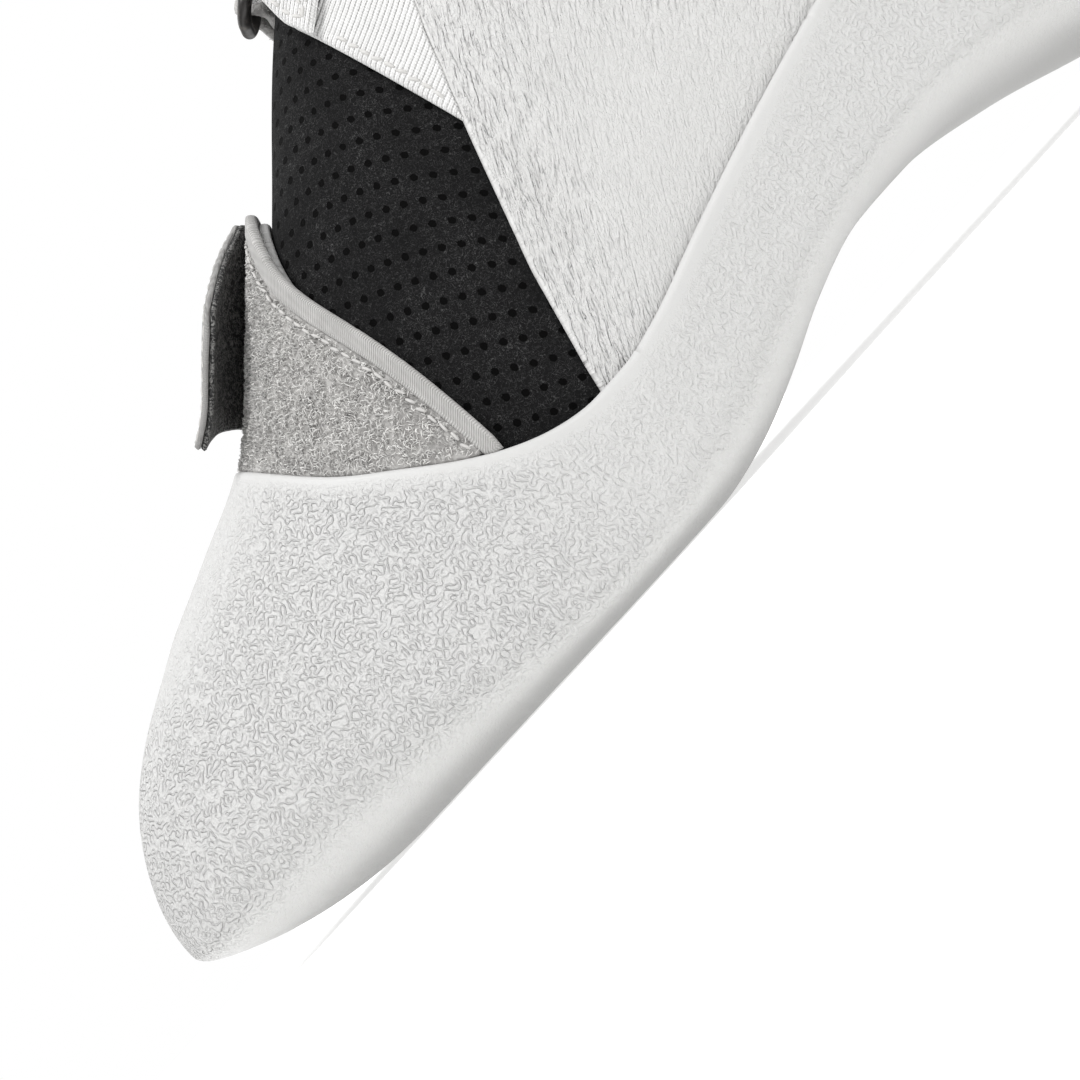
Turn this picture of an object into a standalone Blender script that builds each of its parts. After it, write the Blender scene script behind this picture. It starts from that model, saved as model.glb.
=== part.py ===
"""Climbing shoe for the right foot: a moulded rubber shell over a soft lasted upper, with two straps.

Y points to the toe, Z up and X to the outside of the foot. The driving sizes below are in
millimetres; the objects are written in metres. Every layer of the shoe is cut from one last.
"""
import math

import bmesh
import bpy
import numpy as np

# Driving sizes, in millimetres
LENGTH = 250.0
BALL_WIDTH = 87.0
INSTEP_HEIGHT = 118.0
HEEL_COLLAR_HEIGHT = 78.0
SOLE_THICKNESS = 3.6
RAND_THICKNESS = 1.8
UPPER_WALL = 1.5
TONGUE_WALL = 1.6
INSOLE_THICKNESS = 2.2
PATCH_THICKNESS = 1.5
BINDING_WIDTH = 2.4
STRAP_THICKNESS = 1.8
WEBBING_THICKNESS = 1.5
RING_WIRE = 2.0
FIT_GAP = 0.3

# The tables below were drawn for a last of these sizes and are scaled to the sizes above.
TABLE_LENGTH = 250.0
TABLE_WIDTH = 87.0
TABLE_INSTEP = 118.0

# Plan outline of the last: station from the toe, medial half-width, lateral half-width
OUTLINE_MEDIAL = (
    (0.0, -26), (2.2, -31), (8, -35.4), (17, -38.4), (32, -40.6), (52, -42.2), (78, -43.2),
    (96, -41), (115, -36), (140, -31.5), (165, -29.5), (195, -30), (220, -29.5),
    (237, -24), (247, -14),
)
OUTLINE_LATERAL = (
    (-0.7, -19), (1.0, -11.5), (6, -2), (13, 8), (25, 19), (41, 28.5), (61, 37.2), (83, 42.8),
    (104, 44.2), (124, 41), (145, 36.2), (168, 33), (195, 31.5), (220, 30.5),
    (237, 24.5), (247, 12.5), (250, -1),
)

# Heights along the last: station, sole edge medial, sole edge lateral, sole centre
EDGE_HEIGHTS = (
    (0, 11.5, 11.0, 5.0),
    (12, 13.2, 7.6, 2.2),
    (24, 14.6, 5.4, 0.6),
    (40, 12.8, 4.6, -0.3),
    (62, 8.4, 4.0, -0.5),
    (78, 6.0, 3.9, -0.5),
    (92, 7.8, 4.6, -0.3),
    (104, 11.0, 5.9, 1.6),
    (114, 13.6, 8.6, 5.0),
    (124, 16.0, 13.2, 9.2),
    (138, 18.2, 16.8, 13.0),
    (154, 19.4, 17.0, 13.6),
    (172, 17.6, 15.2, 10.0),
    (190, 13.4, 11.6, 4.0),
    (203, 10.6, 9.6, 0.2),
    (214, 9.2, 8.8, -0.5),
    (234, 9.0, 9.0, -0.5),
    (250, 10.5, 10.5, 0.4),
)

# Crown of the last: station, height of the ridge of the foot, its offset from the centre line
CROWN = (
    (0, 38.0, -21), (8, 39.8, -19.5), (15, 40.4, -18.5), (24, 42.0, -17.5), (30, 44.4, -17),
    (40, 48.6, -16), (52, 54.0, -15), (66, 66.0, -13.5), (80, 79.0, -12), (96, 94.0, -10),
    (110, 105.0, -8.5), (122, 112.0, -7), (140, 117.5, -5), (165, 118.0, -3), (205, 118.0, -1),
    (250, 118.0, -1),
)

# Roundness of a section as superellipse powers: station, above the edge, below it medial, lateral
ROUNDNESS = (
    (0, 1.85, 2.0, 2.2), (20, 1.8, 2.0, 2.4), (45, 1.75, 2.1, 3.2), (70, 1.8, 2.6, 4.2),
    (95, 1.95, 3.0, 4.6), (120, 2.1, 2.7, 3.0), (145, 2.2, 2.4, 2.6), (170, 2.25, 2.8, 3.0),
    (200, 2.3, 4.2, 4.2), (250, 2.3, 4.2, 4.2),
)

# Top edge of the rubber: station, height medial, height lateral
RUBBER_EDGE = (
    (20, 98, 98), (40, 72, 70), (49, 57, 56), (53, 50.8, 50.4), (60, 41.4, 42.5),
    (67, 34.9, 36.4), (75, 28.3, 31.0), (84.5, 23.1, 27.2), (92, 21.6, 26.0), (98, 21.7, 26.0),
    (104, 22.8, 26.6), (117, 26.9, 29.2), (135, 32.2, 32.8), (160, 38.4, 38.4), (190, 45.6, 45.6),
    (220, 52.6, 52.6), (250, 57.6, 57.6),
)

# Throat and collar edge of the upper: station, height medial, height lateral
UPPER_EDGE = (
    (70, 17.0, 21.0), (91.5, 17.0, 21.0), (95, 27, 32),
    (99, 39, 44), (104, 51, 56), (110, 65, 69), (117, 80, 82), (122, 88, 88.5), (126, 90, 90),
    (132, 86.5, 86.5), (143, 76, 76), (156, 69, 68.5), (172, 65.5, 64), (192, 66, 64.5),
    (212, 70, 69), (232, 75.5, 75), (250, 78, 78),
)

TOE_POLE = 30.0
HEEL_POLE = 214.0
MID_STATIONS = 29
FAN_RIBS = 7
BOTTOM_STEPS = 5
TOP_STEPS = 9

SCALE_Y = LENGTH / TABLE_LENGTH
SCALE_X = BALL_WIDTH / TABLE_WIDTH
SCALE_Z = INSTEP_HEIGHT / TABLE_INSTEP
COLLAR_SCALE = HEEL_COLLAR_HEIGHT / 78.0


def clear_scene():
    for item in list(bpy.data.objects):
        bpy.data.objects.remove(item, do_unlink=True)


def curve(table, column, at):
    """Value of one column of a table at a station, on a smooth curve through its rows."""
    rows = np.array(table, float)
    x, y = rows[:, 0], rows[:, column]
    at = float(min(max(at, x[0]), x[-1]))
    step = np.diff(x)
    slope = np.diff(y) / step
    tangent = np.zeros(len(x))
    tangent[0], tangent[-1] = slope[0], slope[-1]
    same = slope[:-1] * slope[1:] > 0
    mean = (slope[:-1] * step[1:] + slope[1:] * step[:-1]) / (step[:-1] + step[1:])
    limit = 3 * np.minimum(abs(slope[:-1]), abs(slope[1:]))
    tangent[1:-1] = np.where(same, np.sign(mean) * np.minimum(abs(mean), limit), 0.0)
    i = int(np.clip(np.searchsorted(x, at) - 1, 0, len(x) - 2))
    h, s = step[i], (at - x[i]) / step[i]
    start = (2 * s**3 - 3 * s**2 + 1) * y[i] + (s**3 - 2 * s**2 + s) * h * tangent[i]
    return start + (3 * s**2 - 2 * s**3) * y[i + 1] + (s**3 - s**2) * h * tangent[i + 1]


def smooth_outline():
    """The plan outline as a closed ring of fine points: toe, medial side, heel, lateral side."""
    ring = np.array(OUTLINE_MEDIAL + OUTLINE_LATERAL[::-1], float)
    count = len(ring)
    points = []
    for i in range(count):
        p0, p1, p2, p3 = ring[i - 1], ring[i], ring[(i + 1) % count], ring[(i + 2) % count]
        t1 = math.dist(p0, p1) ** 0.5
        t2 = t1 + math.dist(p1, p2) ** 0.5
        t3 = t2 + math.dist(p2, p3) ** 0.5
        for t in np.linspace(t1, t2, 20, endpoint=False):
            a1 = ((t1 - t) * p0 + t * p1) / t1
            a2 = ((t2 - t) * p1 + (t - t1) * p2) / (t2 - t1)
            a3 = ((t3 - t) * p2 + (t - t2) * p3) / (t3 - t2)
            b1 = ((t2 - t) * a1 + t * a2) / t2
            b2 = ((t3 - t) * a2 + (t - t1) * a3) / (t3 - t1)
            points.append(((t2 - t) * b1 + (t - t1) * b2) / (t2 - t1))
    return np.array(points)


OUTLINE = smooth_outline()


def rib_list():
    """Ribs of one side, heel to toe: kind of rib, and its station or its angle in the fan."""
    ribs = [("heel", math.pi / 2 * (1 - k / FAN_RIBS)) for k in range(FAN_RIBS)]
    ribs += [("mid", b) for b in np.linspace(HEEL_POLE, TOE_POLE, MID_STATIONS)]
    ribs += [("toe", math.pi / 2 * k / FAN_RIBS) for k in range(1, FAN_RIBS + 1)]
    return ribs


def outline_hit(kind, value, side):
    """Start of a rib on the spine, and where it meets the outline."""
    pole = {"mid": value, "toe": TOE_POLE, "heel": HEEL_POLE}[kind]
    centre = np.array([pole, curve(CROWN, 2, pole)])
    along = {"mid": 0.0, "toe": -math.sin(value), "heel": math.sin(value)}[kind]
    across = 1.0 if kind == "mid" else math.cos(value)
    ray = np.array([along, side * across])
    rel = OUTLINE - centre
    cross = rel[:, 0] * ray[1] - rel[:, 1] * ray[0]
    reach = rel @ ray
    nxt_cross, nxt_reach = np.roll(cross, -1), np.roll(reach, -1)
    crossing = (cross * nxt_cross <= 0) & (cross != nxt_cross)
    share = np.where(crossing, cross / np.where(crossing, cross - nxt_cross, 1.0), 0.0)
    distance = reach + (nxt_reach - reach) * share
    distance = np.where(crossing & (distance > 0), distance, np.inf)
    i = int(np.argmin(distance))
    return centre, OUTLINE[i] + (np.roll(OUTLINE, -1, axis=0)[i] - OUTLINE[i]) * share[i]


def rib_point(centre, rim, side, level):
    """A point of the last on a rib: level 0 under the foot, 1 at the sole edge, 2 at the crown."""
    column = 1 if side < 0 else 2
    edge = curve(EDGE_HEIGHTS, column, rim[0])
    if level <= 1:
        turn = (1 - level) * math.pi / 2
        power = curve(ROUNDNESS, column + 1, rim[0])
        station = centre + (rim - centre) * max(math.cos(turn), 0) ** (2 / power)
        floor = curve(EDGE_HEIGHTS, 3, station[0])
        height = edge - (edge - floor) * math.sin(turn) ** (2 / power)
    else:
        turn = (level - 1) * math.pi / 2
        power = curve(ROUNDNESS, 1, rim[0])
        station = centre + (rim - centre) * max(math.cos(turn), 0) ** (2 / power)
        crown = curve(CROWN, 1, station[0])
        height = edge + (crown - edge) * max(math.sin(turn), 0) ** (2 / power)
    return np.array(
        [station[1] * SCALE_X, (TABLE_LENGTH / 2 - station[0]) * SCALE_Y, height * SCALE_Z]
    )


LEVELS = list(np.linspace(0, 1, BOTTOM_STEPS + 1)) + list(np.linspace(1, 2, TOP_STEPS + 1))[1:]


def last_grid():
    """Points, outward normals and faces of the whole closed last, with levels of each point."""
    ribs = rib_list()
    index = {}
    points, levels, faces, inward = [], [], [], []

    def vertex(kind, value, side, k, j):
        pole = {"mid": k, "toe": "toe", "heel": "heel"}[kind]
        if kind == "mid" and k == FAN_RIBS:
            pole = "heel"
        if kind == "mid" and k == FAN_RIBS + MID_STATIONS - 1:
            pole = "toe"
        if j in (0, len(LEVELS) - 1):
            key = (pole, j)
        elif k in (0, len(ribs) - 1):
            key = ("end", k, j)
        else:
            key = (side, k, j)
        if key not in index:
            index[key] = len(points)
            centre, rim = outline_hit(kind, value, side)
            points.append(rib_point(centre, rim, side, LEVELS[j]))
            levels.append(LEVELS[j])
            way = np.array([(centre - rim)[1] * SCALE_X, (rim - centre)[0] * SCALE_Y, 0.0])
            inward.append(way / np.linalg.norm(way) * min(LEVELS[j] / 0.6, 1.0))
        return index[key]

    for side in (-1, 1):
        grid = [
            [vertex(kind, value, side, k, j) for j in range(len(LEVELS))]
            for k, (kind, value) in enumerate(ribs)
        ]
        for k in range(len(ribs) - 1):
            for j in range(len(LEVELS) - 1):
                face = [grid[k][j], grid[k + 1][j], grid[k + 1][j + 1], grid[k][j + 1]]
                if side > 0:
                    face = [face[1], face[0], face[3], face[2]]
                for part in (face[:3], [face[0], face[2], face[3]]):
                    if len(set(part)) == 3:
                        faces.append(part)
    points = np.array(points)
    normals = np.zeros_like(points)
    for face in faces:
        a, b, c = points[face]
        normals[face] += np.cross(b - a, c - a)
    normals /= np.linalg.norm(normals, axis=1)[:, None]
    centre = points.mean(axis=0)
    if np.sum((points - centre) * normals) < 0:
        normals = -normals
        faces = [face[::-1] for face in faces]
    points[:, 2] = np.maximum(points[:, 2], 0.0)
    levels = np.array(levels)
    # Under the foot the layers stack upwards and a little inwards, so that they stay apart
    # inside the tight corner of the sole edge; above the edge they follow the normals.
    below = np.array([0.0, 0.0, 1.0]) + 0.5 * np.array(inward)
    share = np.clip((levels - 0.8) / 0.4, 0, 1)[:, None]
    return points, normals * share - below * (1 - share), faces, levels


POINTS, NORMALS, FACES, POINT_LEVELS = last_grid()
# The middle of the shoe's own box in plan, which becomes the origin
MIDDLE = (POINTS.max(axis=0) + POINTS.min(axis=0)) / 2 * np.array([1, 1, 0])


# Skins that are closed inside too, so that their faces are already the right way out
CLOSED_SKINS = ("rubber_shell",)


def material(name, colour, roughness, metallic=0.0):
    made = bpy.data.materials.new(name)
    made.use_nodes = True
    shader = made.node_tree.nodes["Principled BSDF"]
    shader.inputs["Base Color"].default_value = (*colour, 1)
    shader.inputs["Roughness"].default_value = roughness
    shader.inputs["Metallic"].default_value = metallic
    return made


def add_object(name, points, faces, finish=None, cutter=False):
    """A mesh object from points in millimetres, with its faces turned outwards."""
    mesh = bpy.data.meshes.new(name)
    mesh.from_pydata([tuple(p / 1000) for p in np.asarray(points, float) - MIDDLE], [], faces)
    work = bmesh.new()
    work.from_mesh(mesh)
    whole_skin = name in CLOSED_SKINS
    if not whole_skin:
        bmesh.ops.recalc_face_normals(work, faces=work.faces)
    work.to_mesh(mesh)
    work.free()
    made = bpy.data.objects.new(name, mesh)
    bpy.context.scene.collection.objects.link(made)
    if finish is not None:
        mesh.materials.append(finish)
    if cutter:
        made.hide_render = True
        made.display_type = "WIRE"
    return made


def layer(name, outer_depth, inner_depth, finish, low=0.0, high=2.0, stations=None):
    """The closed skin of the last between two depths, over a range of levels and stations."""
    count = len(POINTS)
    outer = POINTS - NORMALS * np.broadcast_to(outer_depth, count)[:, None]
    inner = POINTS - NORMALS * np.broadcast_to(inner_depth, count)[:, None]
    inside = (POINT_LEVELS >= low - 0.001) & (POINT_LEVELS <= high + 0.001)
    if stations is not None:
        place = TABLE_LENGTH / 2 - POINTS[:, 1] / SCALE_Y
        inside &= (place >= stations[0]) & (place <= stations[1])
    kept = [face for face in FACES if inside[face].all()]
    faces = [list(face) for face in kept] + [[v + count for v in face[::-1]] for face in kept]
    sides = {(face[i - 1], face[i]) for face in kept for i in range(len(face))}
    for a, b in sorted(sides):
        if (b, a) not in sides:
            faces.append([b, a, a + count, b + count])
    used = sorted({v for face in faces for v in face})
    place = {v: i for i, v in enumerate(used)}
    points = np.concatenate([outer, inner])[used]
    return add_object(name, points, [[place[v] for v in face] for face in faces], finish)


def sheet_solid(name, height, ys, xs, far):
    """A cutter between a height field over the plan and a flat face at height far."""
    places = [(x, y(x) if callable(y) else y) for y in ys for x in xs]
    top = [[x, y, height(x, y)] for x, y in places]
    flat = [[x, y, far] for x, y in places]
    nx, ny = len(xs), len(ys)
    count = nx * ny
    faces = []
    for i in range(ny - 1):
        for j in range(nx - 1):
            a = i * nx + j
            faces.append([a, a + 1, a + nx + 1, a + nx])
            faces.append([a + count, a + nx + count, a + nx + 1 + count, a + 1 + count])
    for i in range(ny - 1):
        for j in (0, nx - 1):
            a = i * nx + j
            faces.append([a, a + nx, a + nx + count, a + count])
    for j in range(nx - 1):
        for i in (0, ny - 1):
            a = i * nx + j
            faces.append([a, a + 1, a + 1 + count, a + count])
    return add_object(name, np.array(top + flat, float), faces, cutter=True)


def cut(target, tool):
    change = target.modifiers.new(tool.name, "BOOLEAN")
    change.operation = "DIFFERENCE"
    change.solver = "EXACT"
    change.object = tool


def station_of(y):
    return TABLE_LENGTH / 2 - y / SCALE_Y


def side_blend(x, y):
    """0 on the medial side of the crown line and 1 on the lateral side, smooth between."""
    middle = curve(CROWN, 2, station_of(y)) * SCALE_X
    share = min(max((x - middle + 14) / 28, 0.0), 1.0)
    return share * share * (3 - 2 * share)


def edge_height(table, x, y, scale, shift=0.0):
    station = station_of(y) + shift
    share = side_blend(x, y)
    return ((1 - share) * curve(table, 1, station) + share * curve(table, 2, station)) * scale


def rows_of(table, extra=()):
    """Places along Y for a cutter: one for each row of its table, and more between wide rows."""
    stations = sorted({row[0] for row in table} | set(extra))
    fine = []
    for a, b in zip(stations, stations[1:]):
        parts = max(1, round((b - a) / 6))
        fine += [a + (b - a) * i / parts for i in range(parts)]
    fine.append(stations[-1])
    return [(TABLE_LENGTH / 2 - b) * SCALE_Y for b in fine]


ACROSS = [x * SCALE_X for x in (-70, -46, *range(-42, 31, 4), 36, 44, 70)]
ALL_DEPTH = np.zeros(len(POINTS))
UPPER_DEPTH = RAND_THICKNESS + FIT_GAP
PATCH_DEPTH = UPPER_DEPTH - FIT_GAP - PATCH_THICKNESS


def shell_inner_depth():
    """Sole thickness under the foot, thinning to the rand above the edge."""
    share = np.clip((POINT_LEVELS - 0.72) / 0.45, 0, 1)
    share = share * share * (3 - 2 * share)
    return SOLE_THICKNESS + (RAND_THICKNESS - SOLE_THICKNESS) * share


def crown_x(y):
    return curve(CROWN, 2, station_of(y)) * SCALE_X


THROAT_STATION = 79.0
THROAT_BOW = 3.5


def front_line(x, ahead=0.0):
    """Place along Y of the throat's front edge: it dips toward the toe on both sides of the crown."""
    y = (TABLE_LENGTH / 2 - THROAT_STATION) * SCALE_Y
    off = min(max((x - crown_x(y)) / (30 * SCALE_X), -1.0), 1.0)
    return y + (THROAT_BOW * math.sin(math.pi * off) ** 2 + ahead) * SCALE_Y


def long_rows(table, extra=()):
    """Places along Y for a cutter that runs past both ends of the shoe."""
    ys = rows_of(table, extra)
    ys[0] += 60
    ys[-1] -= 60
    return ys


def rubber_height(x, y, shift=0.0):
    return edge_height(RUBBER_EDGE, x, y, SCALE_Z, shift)


def upper_height(x, y):
    """Height of the upper's free edge over a place in the plan."""
    value = edge_height(UPPER_EDGE, x, y, SCALE_Z)
    collar = min(max((station_of(y) - 126) / (TABLE_LENGTH - 126), 0), 1)
    return value * (1 + (COLLAR_SCALE / SCALE_Z - 1) * collar)


def plan_block(name, near, far):
    """A tall cutter between the throat's front line, moved ahead by near, and a far place on Y."""
    low = [[x, y, -60] for x in ACROSS for y in (front_line(x, near), far)]
    high = [[x, y, 300] for x, y, _ in low]
    count = len(low)
    faces = [[0, 1, 1 + count, count], [count - 2, count - 1, 2 * count - 1, 2 * count - 2]]
    for i in range(0, count - 2, 2):
        faces.append([i, i + 2, i + 3, i + 1])
        faces.append([i + count, i + 1 + count, i + 3 + count, i + 2 + count])
        faces.append([i, i + 2, i + 2 + count, i + count])
        faces.append([i + 1, i + 3, i + 3 + count, i + 1 + count])
    return add_object(name, np.array(low + high, float), faces, cutter=True)


def build_shell(finish):
    shell = layer("rubber_shell", ALL_DEPTH, shell_inner_depth(), finish)
    cut(shell, sheet_solid("cut_rubber_edge", rubber_height, long_rows(RUBBER_EDGE), ACROSS, 260))
    return shell


def build_upper(finish):
    outer = shell_inner_depth() + FIT_GAP
    upper = layer("upper", outer, outer + UPPER_WALL, finish, low=0.4)
    ys = [front_line] + [y for y in long_rows(UPPER_EDGE) if station_of(y) > THROAT_STATION + 1]
    cut(upper, sheet_solid("cut_throat_collar", upper_height, ys, ACROSS, 300))
    return upper


def build_tongue(finish):
    """The panel in the throat: it reaches under the quarters and under the vamp."""

    def lower_edge(x, y):
        station = station_of(y)
        if station < 69 or station > 131:
            return 400.0
        return max(min(upper_height(x, y) - 8.0, 150.0), 11.0)

    outer = shell_inner_depth() + UPPER_WALL + 2 * FIT_GAP
    tongue = layer("tongue", outer, outer + TONGUE_WALL, finish, low=1.0, stations=(62, 142))
    ys = long_rows(UPPER_EDGE, (68.9, 69.1, 130.9, 131.1, 88, 90))
    cut(tongue, sheet_solid("cut_tongue_edge", lower_edge, ys, ACROSS, -200))
    return tongue


def build_insole(finish):
    depth = SOLE_THICKNESS + UPPER_WALL + 2 * FIT_GAP
    return layer(
        "insole", depth, depth + INSOLE_THICKNESS, finish, high=0.6, stations=(12, 243)
    )


def side_block(name, offset):
    """A cutter over everything on the lateral side of a line beside the crown."""
    ys = [(TABLE_LENGTH / 2 - b) * SCALE_Y for b in (30, 60, 90)]
    points = []
    for y in ys:
        x = crown_x(y) + offset
        points += [[x, y, 0], [150, y, 0], [150, y, 200], [x, y, 200]]
    faces = [[0, 1, 2, 3], [8, 9, 10, 11]]
    for i in (0, 4):
        faces += [[i + k, i + (k + 1) % 4, i + 4 + (k + 1) % 4, i + 4 + k] for k in range(4)]
    return add_object(name, np.array(points, float), faces, cutter=True)


def build_vamp_trim(pile, tape):
    """The pile patch on the vamp, and the tape that binds its edge along the throat."""
    ys = long_rows(RUBBER_EDGE, range(50, 92, 3))
    above = sheet_solid("cut_below_rubber", lambda x, y: rubber_height(x, y, -0.7), ys, ACROSS, -200)
    side = side_block("cut_lateral_side", 7.0)
    behind, ahead = -150 * SCALE_Y, 150 * SCALE_Y
    patch = layer(
        "pile_patch", PATCH_DEPTH, PATCH_DEPTH + PATCH_THICKNESS, pile, low=1.0, stations=(36, 100)
    )
    for tool in (above, plan_block("cut_patch_edge", BINDING_WIDTH + FIT_GAP, behind), side):
        cut(patch, tool)
    binding = layer(
        "vamp_binding", PATCH_DEPTH - 0.2, PATCH_DEPTH + PATCH_THICKNESS, tape, low=1.0,
        stations=(36, 100),
    )
    edge = plan_block("cut_binding_edge", 0.0, behind)
    back = plan_block("cut_binding_back", BINDING_WIDTH, ahead)
    for tool in (above, edge, back, side):
        cut(binding, tool)


def section(station):
    """The section of the last over the crown: distance from the crown, point, from side to side."""
    points = []
    for side in (-1, 1):
        centre, rim = outline_hit("mid", station, side)
        levels = 1 + np.linspace(0, 1, 60)
        half = [rib_point(centre, rim, side, level) for level in levels]
        points += half if side < 0 else half[::-1][1:]
    points = np.array(points)
    steps = np.linalg.norm(np.diff(points, axis=0), axis=1)
    walk = np.concatenate([[0], np.cumsum(steps)])
    return walk - walk[59], points


SECTIONS = {}


def on_section(station, walk):
    key = round(station, 2)
    if key not in SECTIONS:
        SECTIONS[key] = section(key)
    walks, points = SECTIONS[key]
    return np.array([np.interp(walk, walks, points[:, i]) for i in range(3)])


def skin(station, walk, depth):
    """A point under the surface of the last, and the way out of it there."""
    across = on_section(station, walk + 1.2) - on_section(station, walk - 1.2)
    along = on_section(station - 1.2, walk) - on_section(station + 1.2, walk)
    out = np.cross(across, along)
    out /= np.linalg.norm(out)
    return on_section(station, walk) - out * depth


def band(name, rows, thickness, finish):
    """A closed strip around a grid of middle points, a row for each place along its width."""
    grid = np.array(rows, float)
    across = np.gradient(grid, axis=0)
    along = np.gradient(grid, axis=1)
    out = np.cross(across, along)
    out /= np.linalg.norm(out, axis=2)[:, :, None]
    wide, long = grid.shape[:2]
    points = np.concatenate([grid + out * thickness / 2, grid - out * thickness / 2])
    points = points.reshape(-1, 3)
    half = wide * long
    faces = []
    for i in range(wide - 1):
        for j in range(long - 1):
            a = i * long + j
            faces.append([a, a + 1, a + long + 1, a + long])
            faces.append([a + half, a + long + half, a + long + 1 + half, a + 1 + half])
    rim = [(j, j + 1) for j in range(long - 1)]
    rim += [(i * long + long - 1, (i + 1) * long + long - 1) for i in range(wide - 1)]
    rim += [((wide - 1) * long + j + 1, (wide - 1) * long + j) for j in range(long - 1)[::-1]]
    rim += [((i + 1) * long, i * long) for i in range(wide - 1)[::-1]]
    faces += [[b, a, a + half, b + half] for a, b in rim]
    return add_object(name, points, faces, finish)


# Straps, in millimetres: stations are on the crown line
LOW_STRAP_STATIONS = (57.0, 79.0)
LOW_STRAP_TIP = ((57, 0.0), (61, -6.0), (71, -7.5), (79, 3.0))
LOW_STRAP_LIFT = ((57, 5.0), (62, 3.4), (70, 3.4), (76, 1.8), (79, 1.2))
RING_STATION = 109.5
RING_LENGTH = 28.0
RING_WIDTH = 10.4
RING_DEPTH = 0.5
HIGH_STRAP_WIDTH = 21.0
HIGH_STRAP_SLANT = 0.17
WEBBING_FOLD = 19.0
UPPER_STRAP_FOLD = 34.0
WEBBING_CLEARANCE = 1.6
UPPER_STRAP_CLEARANCE = 3.6


def free_edge_walk(side, station, slant, edge, spare):
    """Distance from the crown at which a strap meets the edge of the piece it is sewn under."""
    walk = 4.0
    while walk < 95:
        place = station + slant * walk
        point = on_section(place, side * walk)
        if point[2] < edge(point[0], point[1]) + spare:
            return walk
        walk += 0.5
    return walk


def build_low_strap(finish):
    """Hook strap from the lateral side: sewn flat there, its end stands off the pile patch."""
    rows = []
    for station in np.linspace(*LOW_STRAP_STATIONS, 9):
        start = free_edge_walk(1, station, 0.0, rubber_height, 1.6)
        tip = curve(LOW_STRAP_TIP, 1, station)
        lift = curve(LOW_STRAP_LIFT, 1, station)
        flat = UPPER_DEPTH - FIT_GAP - STRAP_THICKNESS / 2
        row = []
        for share in np.linspace(0, 1, 15):
            walk = start + (tip - start) * share
            rise = min(max((15 - walk) / 11, 0.0), 1.0)
            rise = rise * rise * (3 - 2 * rise)
            bend = min(max((7 - walk) / 14, 0.0), 1.0)
            depth = flat + (-0.45 - STRAP_THICKNESS / 2 - flat) * rise - lift * bend**1.4
            row.append(skin(station, walk, depth))
        rows.append(row)
    return band("lower_strap", rows, STRAP_THICKNESS, finish)


def ring_frame():
    """Middle of the ring, and its ways ahead, sideways and out."""
    middle = skin(RING_STATION, 0.0, RING_DEPTH)
    ahead = skin(RING_STATION - 8, 0.0, RING_DEPTH) - skin(RING_STATION + 8, 0.0, RING_DEPTH)
    ahead /= np.linalg.norm(ahead)
    sideways = np.array([1.0, 0.0, 0.0])
    sideways -= ahead * sideways.dot(ahead)
    sideways /= np.linalg.norm(sideways)
    return middle, ahead, sideways, np.cross(sideways, ahead)


RING_FRAME = ring_frame()


def near_ring(offset, side, walk, depth):
    """A point of a high strap: straight along the ring's bar, and on the foot away from it."""
    middle, ahead, sideways, out = RING_FRAME
    place = offset + HIGH_STRAP_SLANT * walk
    flat = middle - ahead * place + sideways * side * walk + out * (RING_DEPTH - depth)
    share = min(max((walk - 6.5) / 11, 0.0), 1.0)
    share = share * share * (3 - 2 * share)
    if share == 0.0:
        return flat
    return flat * (1 - share) + skin(RING_STATION + place, side * walk, depth) * share


def high_band(name, side, thickness, fold_length, spare, finish):
    """A strap from the edge of a quarter, round one bar of the ring and back on itself."""
    bar_walk = RING_WIDTH / 2 - RING_WIRE / 2
    radius = RING_WIRE / 2 + FIT_GAP + thickness / 2
    under = RING_DEPTH + radius
    over = under - thickness - FIT_GAP - 0.05
    rows = []
    half = HIGH_STRAP_WIDTH / 2
    for offset in np.linspace(-half, half, 6):
        station = RING_STATION + offset
        start = free_edge_walk(side, station, HIGH_STRAP_SLANT, upper_height, spare)
        path = [(start + (bar_walk - start) * s, under) for s in np.linspace(0, 0.93, 9)]
        for turn in np.linspace(-90, 90, 7):
            turn = math.radians(turn)
            path.append(
                (bar_walk - radius * math.cos(turn), RING_DEPTH - radius * math.sin(turn))
            )
        top = RING_DEPTH - radius
        path.append((bar_walk + 2.2, top + 0.3))
        path.append((bar_walk + 5.0, (top + over) / 2))
        path.append((bar_walk + 7.8, over - 0.1))
        fold = min(fold_length, start - bar_walk - 1.5)
        path += [(bar_walk + 7.8 + (fold - 7.8) * s, over) for s in (0.34, 0.67, 1.0)]
        rows.append([near_ring(offset, side, walk, depth) for walk, depth in path])
    return band(name, rows, thickness, finish)


def build_ring(finish):
    """A rounded wire loop lying on the crown, its long bars along the shoe."""
    middle, ahead, sideways, out = RING_FRAME
    wire = RING_WIRE / 2
    long, wide = RING_LENGTH / 2 - wire, RING_WIDTH / 2 - wire
    corner = 3.0
    centres = []
    for sx, sy, start in ((1, 1, 0), (-1, 1, 90), (-1, -1, 180), (1, -1, 270)):
        for turn in np.linspace(start, start + 90, 5):
            turn = math.radians(turn)
            centres.append(
                (
                    sx * (wide - corner) + corner * math.cos(turn),
                    sy * (long - corner) + corner * math.sin(turn),
                    math.cos(turn),
                    math.sin(turn),
                )
            )
    points, faces = [], []
    sides = 8
    for x, y, nx, ny in centres:
        for k in range(sides):
            turn = 2 * math.pi * k / sides
            reach, lift = wire * math.cos(turn), wire * math.sin(turn)
            across, along = x + nx * reach, y + ny * reach
            points.append(middle + sideways * across + ahead * along + out * lift)
    count = len(centres)
    for i in range(count):
        for k in range(sides):
            a, b = i * sides + k, i * sides + (k + 1) % sides
            c, d = (a + sides) % (count * sides), (b + sides) % (count * sides)
            faces.append([a, b, d, c])
    return add_object("strap_ring", points, faces, finish)


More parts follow.
